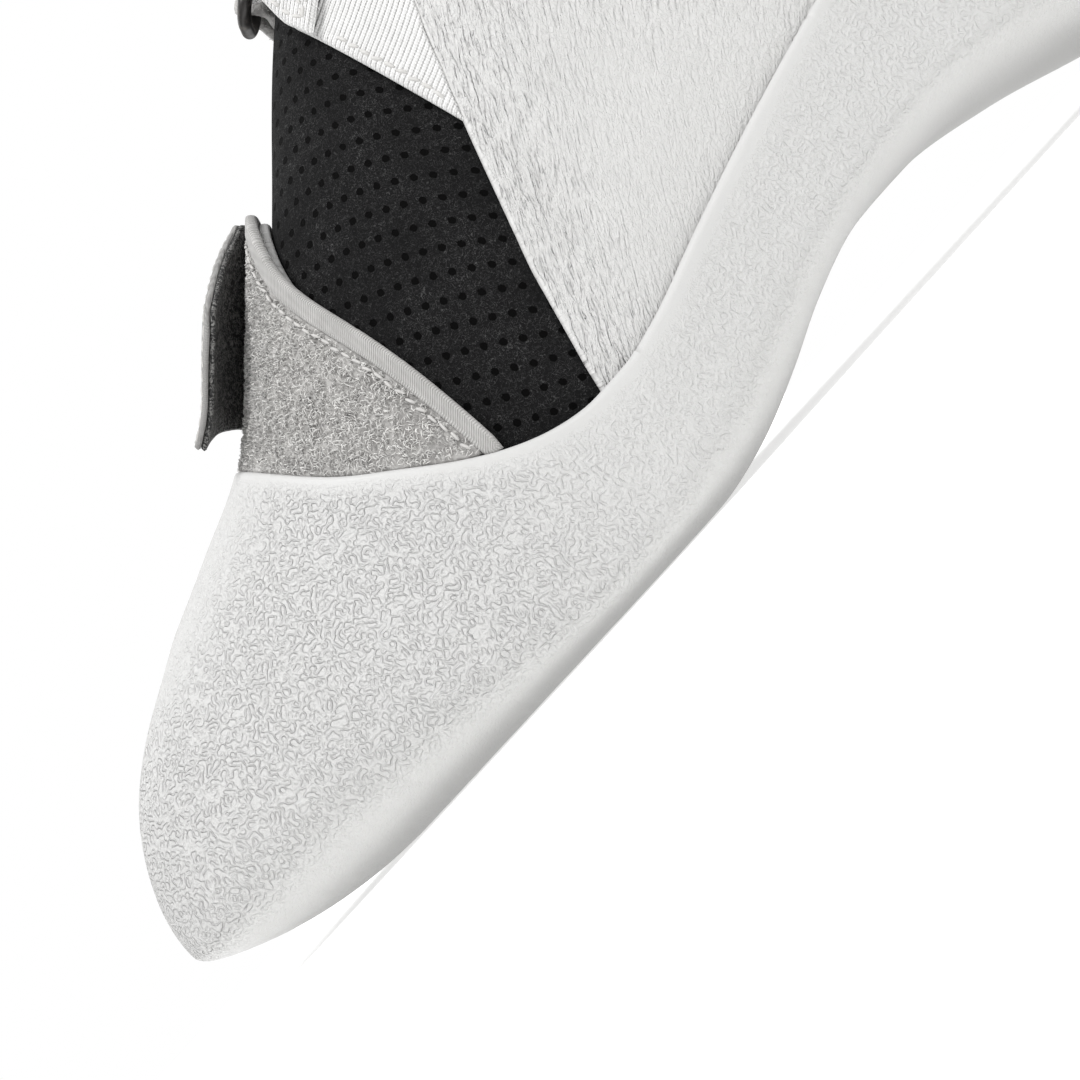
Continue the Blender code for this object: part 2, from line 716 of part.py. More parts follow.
def main():
    clear_scene()
    rubber = material("moulded_rubber", (0.72, 0.71, 0.69), 0.62)
    leather = material("white_microfibre", (0.78, 0.77, 0.75), 0.55)
    suede = material("black_perforated_suede", (0.016, 0.016, 0.018), 0.85)
    footbed = material("insole_felt", (0.34, 0.33, 0.32), 0.9)
    pile = material("grey_loop_pile", (0.46, 0.45, 0.44), 0.95)
    tape = material("grosgrain_tape", (0.52, 0.51, 0.50), 0.8)
    hook = material("grey_hook_tape", (0.42, 0.42, 0.41), 0.8)
    webbing = material("ribbed_webbing", (0.60, 0.60, 0.58), 0.75)
    metal = material("black_coated_wire", (0.03, 0.03, 0.03), 0.35, 1.0)
    build_shell(rubber)
    build_upper(leather)
    build_tongue(suede)
    build_insole(footbed)
    build_vamp_trim(pile, tape)
    build_low_strap(hook)
    high_band("webbing_loop", -1, WEBBING_THICKNESS, WEBBING_FOLD, WEBBING_CLEARANCE, webbing)
    high_band(
        "upper_strap", 1, STRAP_THICKNESS, UPPER_STRAP_FOLD, UPPER_STRAP_CLEARANCE, pile
    )
    build_ring(metal)


main()
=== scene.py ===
# %% [markdown]
# # A climbing shoe, dressed for its picture
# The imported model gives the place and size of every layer: a moulded rubber shell, a soft upper, a
# perforated panel in the throat, and the straps with their ring. This lesson loads those layers
# and makes a finer piece for each one. All sizes below are in millimetres until a mesh is written.

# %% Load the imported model
import math

import bpy
import numpy as np
from mathutils import Matrix, Vector


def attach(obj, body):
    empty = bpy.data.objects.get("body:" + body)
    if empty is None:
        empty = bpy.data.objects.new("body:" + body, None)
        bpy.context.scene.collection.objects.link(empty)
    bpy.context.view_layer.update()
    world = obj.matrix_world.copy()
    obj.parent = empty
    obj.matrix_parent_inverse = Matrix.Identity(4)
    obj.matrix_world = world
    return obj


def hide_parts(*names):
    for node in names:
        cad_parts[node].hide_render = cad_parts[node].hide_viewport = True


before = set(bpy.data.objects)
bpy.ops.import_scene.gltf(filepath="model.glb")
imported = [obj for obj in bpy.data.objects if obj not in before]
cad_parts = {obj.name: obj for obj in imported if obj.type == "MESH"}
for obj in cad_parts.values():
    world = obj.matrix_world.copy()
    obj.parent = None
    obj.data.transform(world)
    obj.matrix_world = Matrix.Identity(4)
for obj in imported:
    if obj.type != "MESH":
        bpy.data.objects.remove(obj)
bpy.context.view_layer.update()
dice = np.random.default_rng(7)
print("nodes:", ", ".join(sorted(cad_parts)))

# %% [markdown]
# ## The foot form
# A shoe is pulled over a last, so every layer follows one form. The tables give the outline, the
# sole edge and the ridge of the foot at stations counted from the toe tip. They are the tables of
# the solid model, so the fine pieces land exactly on the plain ones. A smooth curve runs through
# the rows of each table, which keeps the form free of facets however finely it is cut.

# %% Tables of the last
# Station from the toe tip, place across (medial is negative)
OUTLINE_MEDIAL = (
    (0.0, -26), (2.2, -31), (8, -35.4), (17, -38.4), (32, -40.6), (52, -42.2), (78, -43.2),
    (96, -41), (115, -36), (140, -31.5), (165, -29.5), (195, -30), (220, -29.5),
    (237, -24), (247, -14),
)
OUTLINE_LATERAL = (
    (-0.7, -19), (1.0, -11.5), (6, -2), (13, 8), (25, 19), (41, 28.5), (61, 37.2), (83, 42.8),
    (104, 44.2), (124, 41), (145, 36.2), (168, 33), (195, 31.5), (220, 30.5),
    (237, 24.5), (247, 12.5), (250, -1),
)
# Station, height of the sole edge on the medial and the lateral side, height under the middle
EDGE_HEIGHTS = (
    (0, 11.5, 11.5, 5.0), (12, 13.2, 7.6, 2.2), (24, 14.6, 5.4, 0.6), (40, 12.8, 4.6, -0.3),
    (62, 8.4, 4.0, -0.5), (78, 6.0, 3.9, -0.5), (92, 7.8, 4.6, -0.3), (104, 11.0, 5.9, 1.6),
    (114, 13.6, 8.6, 5.0), (124, 16.0, 13.2, 9.2), (138, 18.2, 16.8, 13.0),
    (154, 19.4, 17.0, 13.6), (172, 17.6, 15.2, 10.0), (190, 13.4, 11.6, 4.0),
    (203, 10.6, 9.6, 0.2), (214, 9.2, 8.8, -0.5), (234, 9.0, 9.0, -0.5), (250, 10.5, 10.5, 0.4),
)
# Station, height of the crown, place of the crown across
CROWN = (
    (0, 38.0, -21), (8, 39.8, -19.5), (15, 40.4, -18.5), (24, 42.0, -17.5), (30, 44.4, -17),
    (40, 48.6, -16), (52, 54.0, -15), (66, 66.0, -13.5), (80, 79.0, -12), (96, 94.0, -10),
    (110, 105.0, -8.5), (122, 112.0, -7), (140, 117.5, -5), (165, 118.0, -3), (205, 118.0, -1),
    (250, 118.0, -1),
)
# Station, power of the curve above the edge, below it on the medial side, and on the lateral side
ROUNDNESS = (
    (0, 1.85, 2.1, 2.1), (20, 1.8, 2.0, 2.4), (45, 1.75, 2.1, 3.2), (70, 1.8, 2.6, 4.2),
    (95, 1.95, 3.0, 4.6), (120, 2.1, 2.7, 3.0), (145, 2.2, 2.4, 2.6), (170, 2.25, 2.8, 3.0),
    (200, 2.3, 4.2, 4.2), (250, 2.3, 4.2, 4.2),
)
# Station, height of the rubber's top edge on the medial and the lateral side
RUBBER_EDGE = (
    (20, 98, 98), (40, 72, 70), (49, 57, 56), (53, 50.8, 50.4), (60, 41.4, 42.5),
    (67, 34.9, 36.4), (75, 28.3, 31.0), (84.5, 23.1, 27.2), (92, 21.6, 26.0), (98, 21.7, 26.0),
    (104, 22.8, 26.6), (117, 26.9, 29.2), (135, 32.2, 32.8), (160, 38.4, 38.4), (190, 45.6, 45.6),
    (220, 52.6, 52.6), (250, 57.6, 57.6),
)
# Station, height of the upper's free edge on the medial and the lateral side
UPPER_EDGE = (
    (70, 17.0, 21.0), (91.5, 17.0, 21.0), (95, 27, 32),
    (99, 39, 44), (104, 51, 56), (110, 65, 69), (117, 80, 82), (122, 88, 88.5), (126, 90, 90),
    (132, 86.5, 86.5), (143, 76, 76), (156, 69, 68.5), (172, 65.5, 64), (192, 66, 64.5),
    (212, 70, 69), (232, 75.5, 75), (250, 78, 78),
)
LENGTH = 250.0
# Stations of the two points from which the ribs of the toe and of the heel fan out
TOE_POLE, HEEL_POLE = 30.0, 214.0
# Place of the middle of the solid model's box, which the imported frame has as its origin
PLAN_MIDDLE = np.array([0.5013, 0.2403, 0.0])
print("rows of the crown's table:", len(CROWN))

# %% Smooth curves and eased steps
LINE_CUTS = 16


def curve(table, column, at):
    """Values of one column of a table at these stations, on a smooth curve through its rows."""
    rows = np.array(table, float)
    x, y = rows[:, 0], rows[:, column]
    at = np.clip(np.asarray(at, float), x[0], x[-1])
    step = np.diff(x)
    slope = np.diff(y) / step
    tangent = np.zeros(len(x))
    tangent[0], tangent[-1] = slope[0], slope[-1]
    same = slope[:-1] * slope[1:] > 0
    mean = (slope[:-1] * step[1:] + slope[1:] * step[:-1]) / (step[:-1] + step[1:])
    limit = 3 * np.minimum(abs(slope[:-1]), abs(slope[1:]))
    tangent[1:-1] = np.where(same, np.sign(mean) * np.minimum(abs(mean), limit), 0.0)
    i = np.clip(np.searchsorted(x, at) - 1, 0, len(x) - 2)
    h, s = step[i], (at - x[i]) / step[i]
    start = (2 * s**3 - 3 * s**2 + 1) * y[i] + (s**3 - 2 * s**2 + s) * h * tangent[i]
    return start + (3 * s**2 - 2 * s**3) * y[i + 1] + (s**3 - s**2) * h * tangent[i + 1]


def soft_step(value, low, high):
    """0 below low and 1 above high, with an eased slope between."""
    share = np.clip((np.asarray(value, float) - low) / (high - low), 0, 1)
    return share * share * (3 - 2 * share)


def through(points, count):
    """Evenly spaced places on a smooth line that passes through the given points."""
    points = np.asarray(points, float)
    chain = np.concatenate([
        2 * points[:1] - points[1:2], points, 2 * points[-1:] - points[-2:-1]])
    fine = []
    for p0, p1, p2, p3 in zip(chain, chain[1:], chain[2:], chain[3:]):
        t = np.linspace(0, 1, LINE_CUTS, endpoint=False)[:, None]
        fine.append(
            0.5 * (2 * p1 + (p2 - p0) * t + (2 * p0 - 5 * p1 + 4 * p2 - p3) * t**2
                   + (3 * p1 - p0 - 3 * p2 + p3) * t**3))
    fine = np.concatenate(fine + [points[-1:]])
    gone = np.concatenate([[0], np.cumsum(np.linalg.norm(np.diff(fine, axis=0), axis=1))])
    at = np.linspace(0, gone[-1], count)
    return np.stack([np.interp(at, gone, fine[:, i]) for i in range(fine.shape[1])], axis=1)


# %% [markdown]
# ## Ribs round the foot
# Each rib is a section of the foot: under it to the sole edge (level 0 to 1), then up to the
# crown (level 1 to 2), as quarters of a superellipse. Between the poles the ribs stand across
# the shoe, and at the toe and heel they fan out, so that both ends stay round and well meshed.

# %% The outline in plan
OUTLINE_CUTS = 20


def smooth_outline():
    """Points of a closed centripetal curve through both outline tables."""
    ring = np.array(OUTLINE_MEDIAL + OUTLINE_LATERAL[::-1], float)
    count = len(ring)
    points = []
    for i in range(count):
        p0, p1, p2, p3 = ring[i - 1], ring[i], ring[(i + 1) % count], ring[(i + 2) % count]
        t1 = math.dist(p0, p1) ** 0.5
        t2 = t1 + math.dist(p1, p2) ** 0.5
        t3 = t2 + math.dist(p2, p3) ** 0.5
        for t in np.linspace(t1, t2, OUTLINE_CUTS, endpoint=False):
            a1 = ((t1 - t) * p0 + t * p1) / t1
            a2 = ((t2 - t) * p1 + (t - t1) * p2) / (t2 - t1)
            a3 = ((t3 - t) * p2 + (t - t2) * p3) / (t3 - t2)
            b1 = ((t2 - t) * a1 + t * a2) / t2
            b2 = ((t3 - t) * a2 + (t - t1) * a3) / (t3 - t1)
            points.append(((t2 - t) * b1 + (t - t1) * b2) / (t2 - t1))
    return np.array(points)


OUTLINE = smooth_outline()
print("outline:", len(OUTLINE), "points")


# %% Ribs
def outline_hit(kind, value, side):
    """Start of a rib on the spine, and where it meets the outline in plan."""
    pole = {"mid": value, "toe": TOE_POLE, "heel": HEEL_POLE}[kind]
    centre = np.array([pole, float(curve(CROWN, 2, pole))])
    along = {"mid": 0.0, "toe": -math.sin(value), "heel": math.sin(value)}[kind]
    across = 1.0 if kind == "mid" else math.cos(value)
    ray = np.array([along, side * across])
    rel = OUTLINE - centre
    cross = rel[:, 0] * ray[1] - rel[:, 1] * ray[0]
    reach = rel @ ray
    nxt_cross, nxt_reach = np.roll(cross, -1), np.roll(reach, -1)
    crossing = (cross * nxt_cross <= 0) & (cross != nxt_cross)
    share = np.where(crossing, cross / np.where(crossing, cross - nxt_cross, 1.0), 0.0)
    distance = reach + (nxt_reach - reach) * share
    i = int(np.argmin(np.where(crossing & (distance > 0), distance, np.inf)))
    return centre, OUTLINE[i] + (np.roll(OUTLINE, -1, axis=0)[i] - OUTLINE[i]) * share[i]


def foot_points(centre, rim, side, level):
    """Points of the last on ribs: level 0 under the foot, 1 at the sole edge, 2 at the crown."""
    column = 1 if side < 0 else 2
    edge = curve(EDGE_HEIGHTS, column, rim[..., 0])
    under = level <= 1
    turn = np.abs(level - 1) * math.pi / 2
    power = np.where(
        under, curve(ROUNDNESS, column + 1, rim[..., 0]), curve(ROUNDNESS, 1, rim[..., 0]))
    reach = np.maximum(np.cos(turn), 0) ** (2 / power)
    rise = np.maximum(np.sin(turn), 0) ** (2 / power)
    plan = centre + (rim - centre) * reach[..., None]
    floor = curve(EDGE_HEIGHTS, 3, plan[..., 0])
    crown = curve(CROWN, 1, plan[..., 0])
    height = np.where(under, edge - (edge - floor) * rise, edge + (crown - edge) * rise)
    return np.stack([plan[..., 1], LENGTH / 2 - plan[..., 0], height], axis=-1)


# %% [markdown]
# The ribs of both sides are joined into one skin. Where they meet, under the foot, on the crown and
# at the poles, several points share a place, so they are welded. Each point keeps the way in under
# the skin, along which the layers are stacked, its level, and its walk from the crown.

# %% Welding
# Grid in which points are welded, and its offset, which keeps whole millimetres off a grid line
WELDS_PER_MM, WELD_OFFSET = 60, 0.137


def welded(place, value, quads):
    """The points of a grid with the doubled ones made one, and its quads as triangles."""
    faces = np.concatenate([quads[:, [0, 1, 2]], quads[:, [0, 2, 3]]])
    _, first, index = np.unique(
        np.round(place * WELDS_PER_MM + WELD_OFFSET).astype(np.int64), axis=0,
        return_index=True, return_inverse=True)
    faces = index.reshape(-1)[faces]
    a, b, c = faces.T
    return place[first], value[first], faces[(a != b) & (b != c) & (a != c)]


def ways_out(place, faces):
    """The outward way at each point, and the faces turned to agree with it."""
    corners = place[faces]
    facing = np.cross(corners[:, 1] - corners[:, 0], corners[:, 2] - corners[:, 0])
    out = np.zeros_like(place)
    for i in range(3):
        np.add.at(out, faces[:, i], facing)
    out /= np.maximum(np.linalg.norm(out, axis=1), 1e-9)[:, None]
    if np.sum((place - place.mean(axis=0)) * out) < 0:
        return -out, faces[:, ::-1]
    return out, faces


# %% The form
# Ribs in each fan and between the poles, and levels below and above the sole edge
FAN, MID, LOW_LEVELS, HIGH_LEVELS = 26, 186, 26, 60
# Level from which the way inward counts in full
INWARD_FROM = 0.6


def foot_form():
    """One fine closed skin of the foot, as triangles with values at every point."""
    levels = np.concatenate([np.linspace(0, 1, LOW_LEVELS), np.linspace(1, 2, HIGH_LEVELS)[1:]])
    ribs = [("heel", math.pi / 2 * (1 - k / FAN)) for k in range(FAN)]
    ribs += [("mid", b) for b in np.linspace(HEEL_POLE, TOE_POLE, MID)]
    ribs += [("toe", math.pi / 2 * k / FAN) for k in range(1, FAN + 1)]
    places, values, quads = [], [], []
    wide, high = len(ribs), len(levels)
    for side in (-1, 1):
        hits = [outline_hit(kind, value, side) for kind, value in ribs]
        centre = np.array([h[0] for h in hits])[:, None, :]
        rim = np.array([h[1] for h in hits])[:, None, :]
        grid = foot_points(centre, rim, side, levels[None, :] * np.ones((wide, 1)))
        steps = np.linalg.norm(np.diff(grid, axis=1), axis=2)
        none = np.zeros((wide, 1))
        walk = np.concatenate([np.cumsum(steps[:, ::-1], axis=1)[:, ::-1], none], 1)
        way = np.stack([(centre - rim)[..., 1], (rim - centre)[..., 0], none], -1)
        way = way / np.linalg.norm(way, axis=2)[..., None]
        inward = way * np.minimum(levels / INWARD_FROM, 1.0)[None, :, None]
        places.append(grid.reshape(-1, 3))
        level = np.broadcast_to(levels, (wide, high))
        values.append(np.concatenate(
            [inward.reshape(-1, 3), level.reshape(-1, 1), side * walk.reshape(-1, 1)], axis=1))
        corner = (np.arange(wide - 1)[:, None] * high + np.arange(high - 1)[None, :]).reshape(-1)
        corner = corner + (0 if side < 0 else wide * high)
        quad = np.stack([corner, corner + high, corner + high + 1, corner + 1], axis=1)
        quads.append(quad if side < 0 else quad[:, [1, 0, 3, 2]])
    place, value, faces = welded(*map(np.concatenate, (places, values, quads)))
    out, faces = ways_out(place, faces)
    place[:, 2] = np.maximum(place[:, 2], 0.0)
    # Layers stack upward and a little inward under the foot, and square to the skin above the edge
    level = value[:, 3]
    share = np.clip((level - 0.8) / 0.4, 0, 1)[:, None]
    stack = np.array([0.0, 0.0, 1.0]) + 0.5 * value[:, :3]
    return {
        "faces": faces, "place": place, "out": out, "under": stack * (1 - share) - out * share,
        "level": level, "walk": value[:, 4], "station": LENGTH / 2 - place[:, 1],
    }


FOOT = foot_form()
print("foot form:", len(FOOT["place"]), "points,", len(FOOT["faces"]), "triangles")


# %% [markdown]
# ## Cutting patterns
# A shoemaker cuts flat patterns, and here each piece is cut out of the form instead. `trim` keeps
# the part of a sheet where a number is above zero and cuts straight through the triangles at the
# line, so an edge is as smooth as the curve that drew it. The edges come from the same tables.

# %% Edge lines
# Half the width over which an edge's height passes from the medial to the lateral column
EDGE_BLEND = 14
THROAT_STATION, THROAT_BOW, THROAT_HALF = 79.0, 3.5, 30


def crown_x(y):
    """Place of the crown across, at this place along the shoe."""
    return curve(CROWN, 2, LENGTH / 2 - np.asarray(y))


def edge_height(table, x, y, shift=0.0):
    """Height of an edge line over this place, read this much nearer the heel."""
    station = LENGTH / 2 - np.asarray(y) + shift
    share = soft_step(x - crown_x(y), -EDGE_BLEND, EDGE_BLEND)
    return (1 - share) * curve(table, 1, station) + share * curve(table, 2, station)


def front_line(x):
    """The throat's front edge along the shoe: it dips toward the toe on both sides."""
    y = LENGTH / 2 - THROAT_STATION
    off = np.clip((x - crown_x(y)) / THROAT_HALF, -1, 1)
    return y + THROAT_BOW * np.sin(math.pi * off) ** 2


def rubber_line(sheet, shift=0.0):
    """Height of the rubber's top edge over each point of a sheet."""
    return edge_height(RUBBER_EDGE, sheet["place"][:, 0], sheet["place"][:, 1], shift)


def upper_line(sheet):
    """Height of the upper's free edge over each point of a sheet."""
    return edge_height(UPPER_EDGE, sheet["place"][:, 0], sheet["place"][:, 1])


# %% Trim
def trim(sheet, keep):
    """The part of a sheet where keep is above zero, cut through the triangles at zero."""
    faces, count = sheet["faces"], len(keep)
    inside = keep > 0
    full = inside[faces].all(axis=1)
    cut = faces[inside[faces].any(axis=1) & ~full]
    flags = inside[cut]
    single = flags.sum(axis=1) == 1
    odd = np.where(single, flags.argmax(axis=1), (~flags).argmax(axis=1))
    a, b, c = (cut[np.arange(len(cut)), (odd + i) % 3] for i in range(3))
    low = np.concatenate([np.minimum(a, b), np.minimum(a, c)])
    high = np.concatenate([np.maximum(a, b), np.maximum(a, c)])
    keys, where = np.unique(low * count + high, return_inverse=True)
    where = where.reshape(-1)
    low, high = keys // count, keys % count
    share = np.clip(keep[low] / (keep[low] - keep[high]), 0.05, 0.95)
    ab, ac = where[: len(a)] + count, where[len(a):] + count
    kept = np.concatenate([
        faces[full], np.stack([a, ab, ac], 1)[single],
        np.stack([ab, b, c], 1)[~single], np.stack([ab, c, ac], 1)[~single]])
    used, index = np.unique(kept, return_inverse=True)
    result = {"faces": index.reshape(-1, 3)}
    for name, value in sheet.items():
        if name != "faces":
            mix = share if value.ndim == 1 else share[:, None]
            whole = np.concatenate([value, value[low] * (1 - mix) + value[high] * mix])
            result[name] = whole[used]
    return result


# %% [markdown]
# ## From numbers to an object
# Every piece becomes a mesh in the same way, so one function does it. The points also carry numbers
# such as the walk round the foot, which the materials read later to lay holes, ribs and weave along
# the cloth. A UV map could do that too, but numbers at the points need no flattening.

# %% Make a piece
def make_piece(name, points, faces, finishes, node, values=None, pick=None):
    """A mesh object from millimetres, on the one body of the shoe, in place of a plain solid."""
    mesh = bpy.data.meshes.new(name)
    mesh.from_pydata(((points - PLAN_MIDDLE) / 1000).tolist(), [], [list(f) for f in faces])
    for key, value in (values or {}).items():
        value = np.asarray(value, float)
        kind = "FLOAT" if value.ndim == 1 else "FLOAT_VECTOR"
        layer = mesh.attributes.new(key, kind, "POINT")
        layer.data.foreach_set("value" if value.ndim == 1 else "vector", value.reshape(-1))
    for finish in finishes:
        mesh.materials.append(finish)
    if pick is not None:
        mesh.polygons.foreach_set("material_index", np.asarray(pick, np.int32))
    mesh.polygons.foreach_set("use_smooth", [True] * len(mesh.polygons))
    mesh.update()
    piece = bpy.data.objects.new(name, mesh)
    bpy.context.scene.collection.objects.link(piece)
    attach(piece, "root")
    if node:
        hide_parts(node)
    print(f"{name}: {len(mesh.vertices)} points, {len(faces)} faces")


# %% [markdown]
# ## Meshes with a wall
# Rubber and leather have thickness, and what the eye reads at an edge is how that thickness is
# rounded. Blender's Solidify modifier leaves a square edge, which a bevel would have to round.
# `wall` makes a closed skin between two depths under the form instead, and rolls the edge between
# them in a few rows.

# %% Rim of a sheet
# How often the ways out of a rim are averaged with their neighbours
RIM_ROUNDS = 4


def border_of(faces, count):
    """Directed edges that only one face has: the rim of a sheet."""
    edges = np.concatenate([faces[:, [0, 1]], faces[:, [1, 2]], faces[:, [2, 0]]])
    return edges[~np.isin(edges[:, 0] * count + edges[:, 1], edges[:, 1] * count + edges[:, 0])]


def rim_ways(place, out, border):
    """At each rim point, the way out of the sheet's edge, smoothed along the rim."""
    way = np.zeros_like(place)
    a, b = border.T
    step = place[b] - place[a]
    np.add.at(way, a, step)
    np.add.at(way, b, step)
    way = np.cross(way, out)
    for _ in range(RIM_ROUNDS):
        way /= np.maximum(np.linalg.norm(way, axis=1), 1e-9)[:, None]
        blend = way * 2
        np.add.at(blend, a, way[b])
        np.add.at(blend, b, way[a])
        way = blend
    return way / np.maximum(np.linalg.norm(way, axis=1), 1e-9)[:, None]


# %% Wall
def wall(sheet, outer, inner, roll, rows=5):
    """Closed skin between two depths: points, faces, source index, and 0, 1 or 2 for the side."""
    place, under, faces = sheet["place"], sheet["under"], sheet["faces"]
    count = len(place)
    lift = sheet.get("lift", np.zeros(count))[:, None] * sheet["out"]
    top = place + under * np.broadcast_to(outer, count)[:, None] + lift
    bottom = place + under * np.broadcast_to(inner, count)[:, None] + lift
    border = border_of(faces, count)
    rim = np.unique(border)
    way = rim_ways(place, sheet["out"], border)[rim]
    middle, half = (top + bottom)[rim] / 2, (top - bottom)[rim] / 2
    layers = [top[rim]]
    for turn in np.linspace(0, math.pi, rows + 2)[1:-1]:
        layers.append(middle + half * math.cos(turn) + way * roll * math.sin(turn) ** 0.8)
    points = np.concatenate([top, bottom] + layers[1:])
    source = np.concatenate([np.arange(count)] * 2 + [rim] * rows)
    slot_of = np.full(count, -1)
    slot_of[rim] = np.arange(len(rim))
    a, b = slot_of[border[:, 0]], slot_of[border[:, 1]]
    bands = []
    for k in range(rows + 1):
        start_a = border[:, 0] if k == 0 else 2 * count + (k - 1) * len(rim) + a
        start_b = border[:, 1] if k == 0 else 2 * count + (k - 1) * len(rim) + b
        end_a = border[:, 0] + count if k == rows else 2 * count + k * len(rim) + a
        end_b = border[:, 1] + count if k == rows else 2 * count + k * len(rim) + b
        bands.append(np.stack([start_b, start_a, end_a], 1))
        bands.append(np.stack([start_b, end_a, end_b], 1))
    bands = np.concatenate(bands)
    pick = np.concatenate([np.zeros(len(faces)), np.ones(len(faces)), np.full(len(bands), 2)])
    return points, np.concatenate([faces, faces[:, ::-1] + count, bands]), source, pick


SOLE_WALL, RAND_WALL = 3.6, 1.8


def shell_depth(level):
    """Sole thickness under the foot, thinning to the rand above the edge."""
    return SOLE_WALL - (SOLE_WALL - RAND_WALL) * soft_step(level, 0.72, 1.17)


# %% [markdown]
# ## Finishes
# Each finish is built from a base colour and a few layers of noise at the size of the real grain.
# A material can paint its detail or model it. Small relief, such as rubber grain or perforations,
# is cheaper as bump, while loops and stitches are real geometry because they break the outline.
# The scale of a noise is its cells per metre, or per millimetre where it reads a carried place.

# %% A small kit for finishes
class Finish:
    """A material under construction, with short ways to add nodes."""

    def __init__(self, name, colour, roughness, metallic=0.0, sheen=0.0, specular=0.5):
        """Starts from what is the same all over the surface."""
        self.material = bpy.data.materials.new(name)
        self.material.use_nodes = True
        self.tree = self.material.node_tree
        self.shader = self.tree.nodes["Principled BSDF"]
        self.shader.inputs["Base Color"].default_value = (*colour, 1)
        self.shader.inputs["Roughness"].default_value = roughness
        self.shader.inputs["Metallic"].default_value = metallic
        self.shader.inputs["Sheen Weight"].default_value = sheen
        self.shader.inputs["Sheen Roughness"].default_value = 0.5
        self.shader.inputs["Specular IOR Level"].default_value = specular
        self.where = self.tree.nodes.new("ShaderNodeTexCoord").outputs["Object"]
        self.relief = None

    def feed(self, socket, value):
        """Links another node's output to a socket, or sets the socket's own value."""
        if isinstance(value, bpy.types.NodeSocket):
            self.tree.links.new(value, socket)
        else:
            socket.default_value = value

    def node(self, kind, *values, **settings):
        """A new node, with (socket, value) pairs for its inputs and settings for the rest."""
        made = self.tree.nodes.new("ShaderNode" + kind)
        for key, value in settings.items():
            setattr(made, key, value)
        for key, value in values:
            self.feed(made.inputs[key], value)
        return made

    def maths(self, operation, *values):
        """A Math node."""
        return self.node("Math", *enumerate(values), operation=operation).outputs[0]

    def vector(self, operation, *values):
        """A Vector Math node."""
        return self.node("VectorMath", *enumerate(values), operation=operation).outputs[0]

    def carried(self, name):
        """A number or vector that the mesh carries at its points."""
        return self.node("Attribute", attribute_name=name)

    def noise(self, scale, detail=2.0, distortion=0.0, where=None):
        """Smooth noise between 0 and 1, in the object's space or at a carried place."""
        return self.node(
            "TexNoise", ("Vector", where or self.where), ("Scale", scale), ("Detail", detail),
            ("Roughness", 0.5), ("Distortion", distortion)).outputs["Fac"]

    def fit(self, value, low, high, to_low=0.0, to_high=1.0):
        """The value eased from one range to another, and held at its ends."""
        return self.node(
            "MapRange", (0, value), (1, low), (2, high), (3, to_low), (4, to_high),
            interpolation_type="SMOOTHSTEP").outputs[0]

    def blend(self, share, *colours):
        """A mix of two colours, each a tuple or another node's output."""
        ends = [c if isinstance(c, bpy.types.NodeSocket) else (*c, 1) for c in colours]
        return self.node(
            "Mix", (0, share), *zip((6, 7), ends), data_type="RGBA").outputs[2]

    def paint(self, colour):
        """Colour from the nodes."""
        self.feed(self.shader.inputs["Base Color"], colour)

    def dull(self, roughness):
        """Roughness from the nodes."""
        self.feed(self.shader.inputs["Roughness"], roughness)

    def emboss(self, height, depth_mm, strength=1.0):
        """Adds relief of this real depth, on top of any that is there."""
        values = [("Height", height), ("Distance", depth_mm / 1000), ("Strength", strength)]
        if self.relief is not None:
            values.append(("Normal", self.relief))
        self.relief = self.node("Bump", *values).outputs[0]
        self.feed(self.shader.inputs["Normal"], self.relief)

    def worms(self, scale, width=0.05, distortion=0.7, where=None, detail=1.0):
        """Winding ridges, one where smooth noise passes its middle value."""
        level = self.noise(scale, detail, distortion, where)
        return self.fit(self.maths("ABSOLUTE", self.maths("SUBTRACT", level, 0.5)), 0, width, 1, 0)


# %% [markdown]
# ### Moulded rubber
# The shell is one moulding of matte rubber. Its mould was sparked to a winding grain: coarse on
# the toe box, finer under the foot, and almost smooth along the rolled edge. A Voronoi texture
# would give closed cells. Plain noise turned into ridges winds as the real grain does, and a
# number on each point says how coarse it is.

# %% Rubber
def rubber_finish():
    """Grain of two sizes, the coarse one where the mesh asks for it, with a painted highlight on its
    ridges.
    """
    rubber = Finish("moulded_rubber_skin", (0.54, 0.538, 0.532), 0.55, specular=0.35)
    grain = rubber.carried("grain").outputs["Fac"]
    coarse = rubber.maths("MULTIPLY", rubber.worms(1150, 0.20, 0.10, detail=0.0), grain)
    fine = rubber.maths("MULTIPLY", rubber.worms(1900, 0.13, 0.3), 0.16)
    fine = rubber.maths("MULTIPLY", fine, rubber.fit(grain, 0.0, 0.12, 0.15, 1.0))
    height = rubber.maths("ADD", coarse, fine)
    rubber.emboss(height, 0.30, 1.0)
    rubber.emboss(rubber.noise(5200, 3.0), 0.012, 0.7)
    cloud = rubber.noise(38, 4.0, 0.4)
    body = rubber.blend(cloud, (0.52, 0.518, 0.512), (0.56, 0.558, 0.552))
    # The ridges of the grain are painted lighter than the rubber: a painted highlight on their tops.
    painted_ridge_highlight = rubber.blend(rubber.fit(height, 0.0, 0.8, 0.0, 0.15), body, (0.60, 0.598, 0.592))
    rubber.paint(painted_ridge_highlight)
    rubber.dull(rubber.fit(cloud, 0.3, 0.7, 0.50, 0.64))
    return rubber.material


RUBBER = rubber_finish()
print("finish:", RUBBER.name)


# %% [markdown]
# ### White microfibre and its lining
# The quarters are a thin white synthetic leather. Its surface is wrinkled in one direction, along
# the throat, so the noise is stretched that way before it is turned into ridges. Inside, the
# leather shows its felted back, which is fluff at one size and a slow change of tone at another.

# %% Microfibre
# How far the wrinkles are stretched: their place along the grain counts this much
WRINKLE_STRETCH = (0.34, 1.0, 1.0)


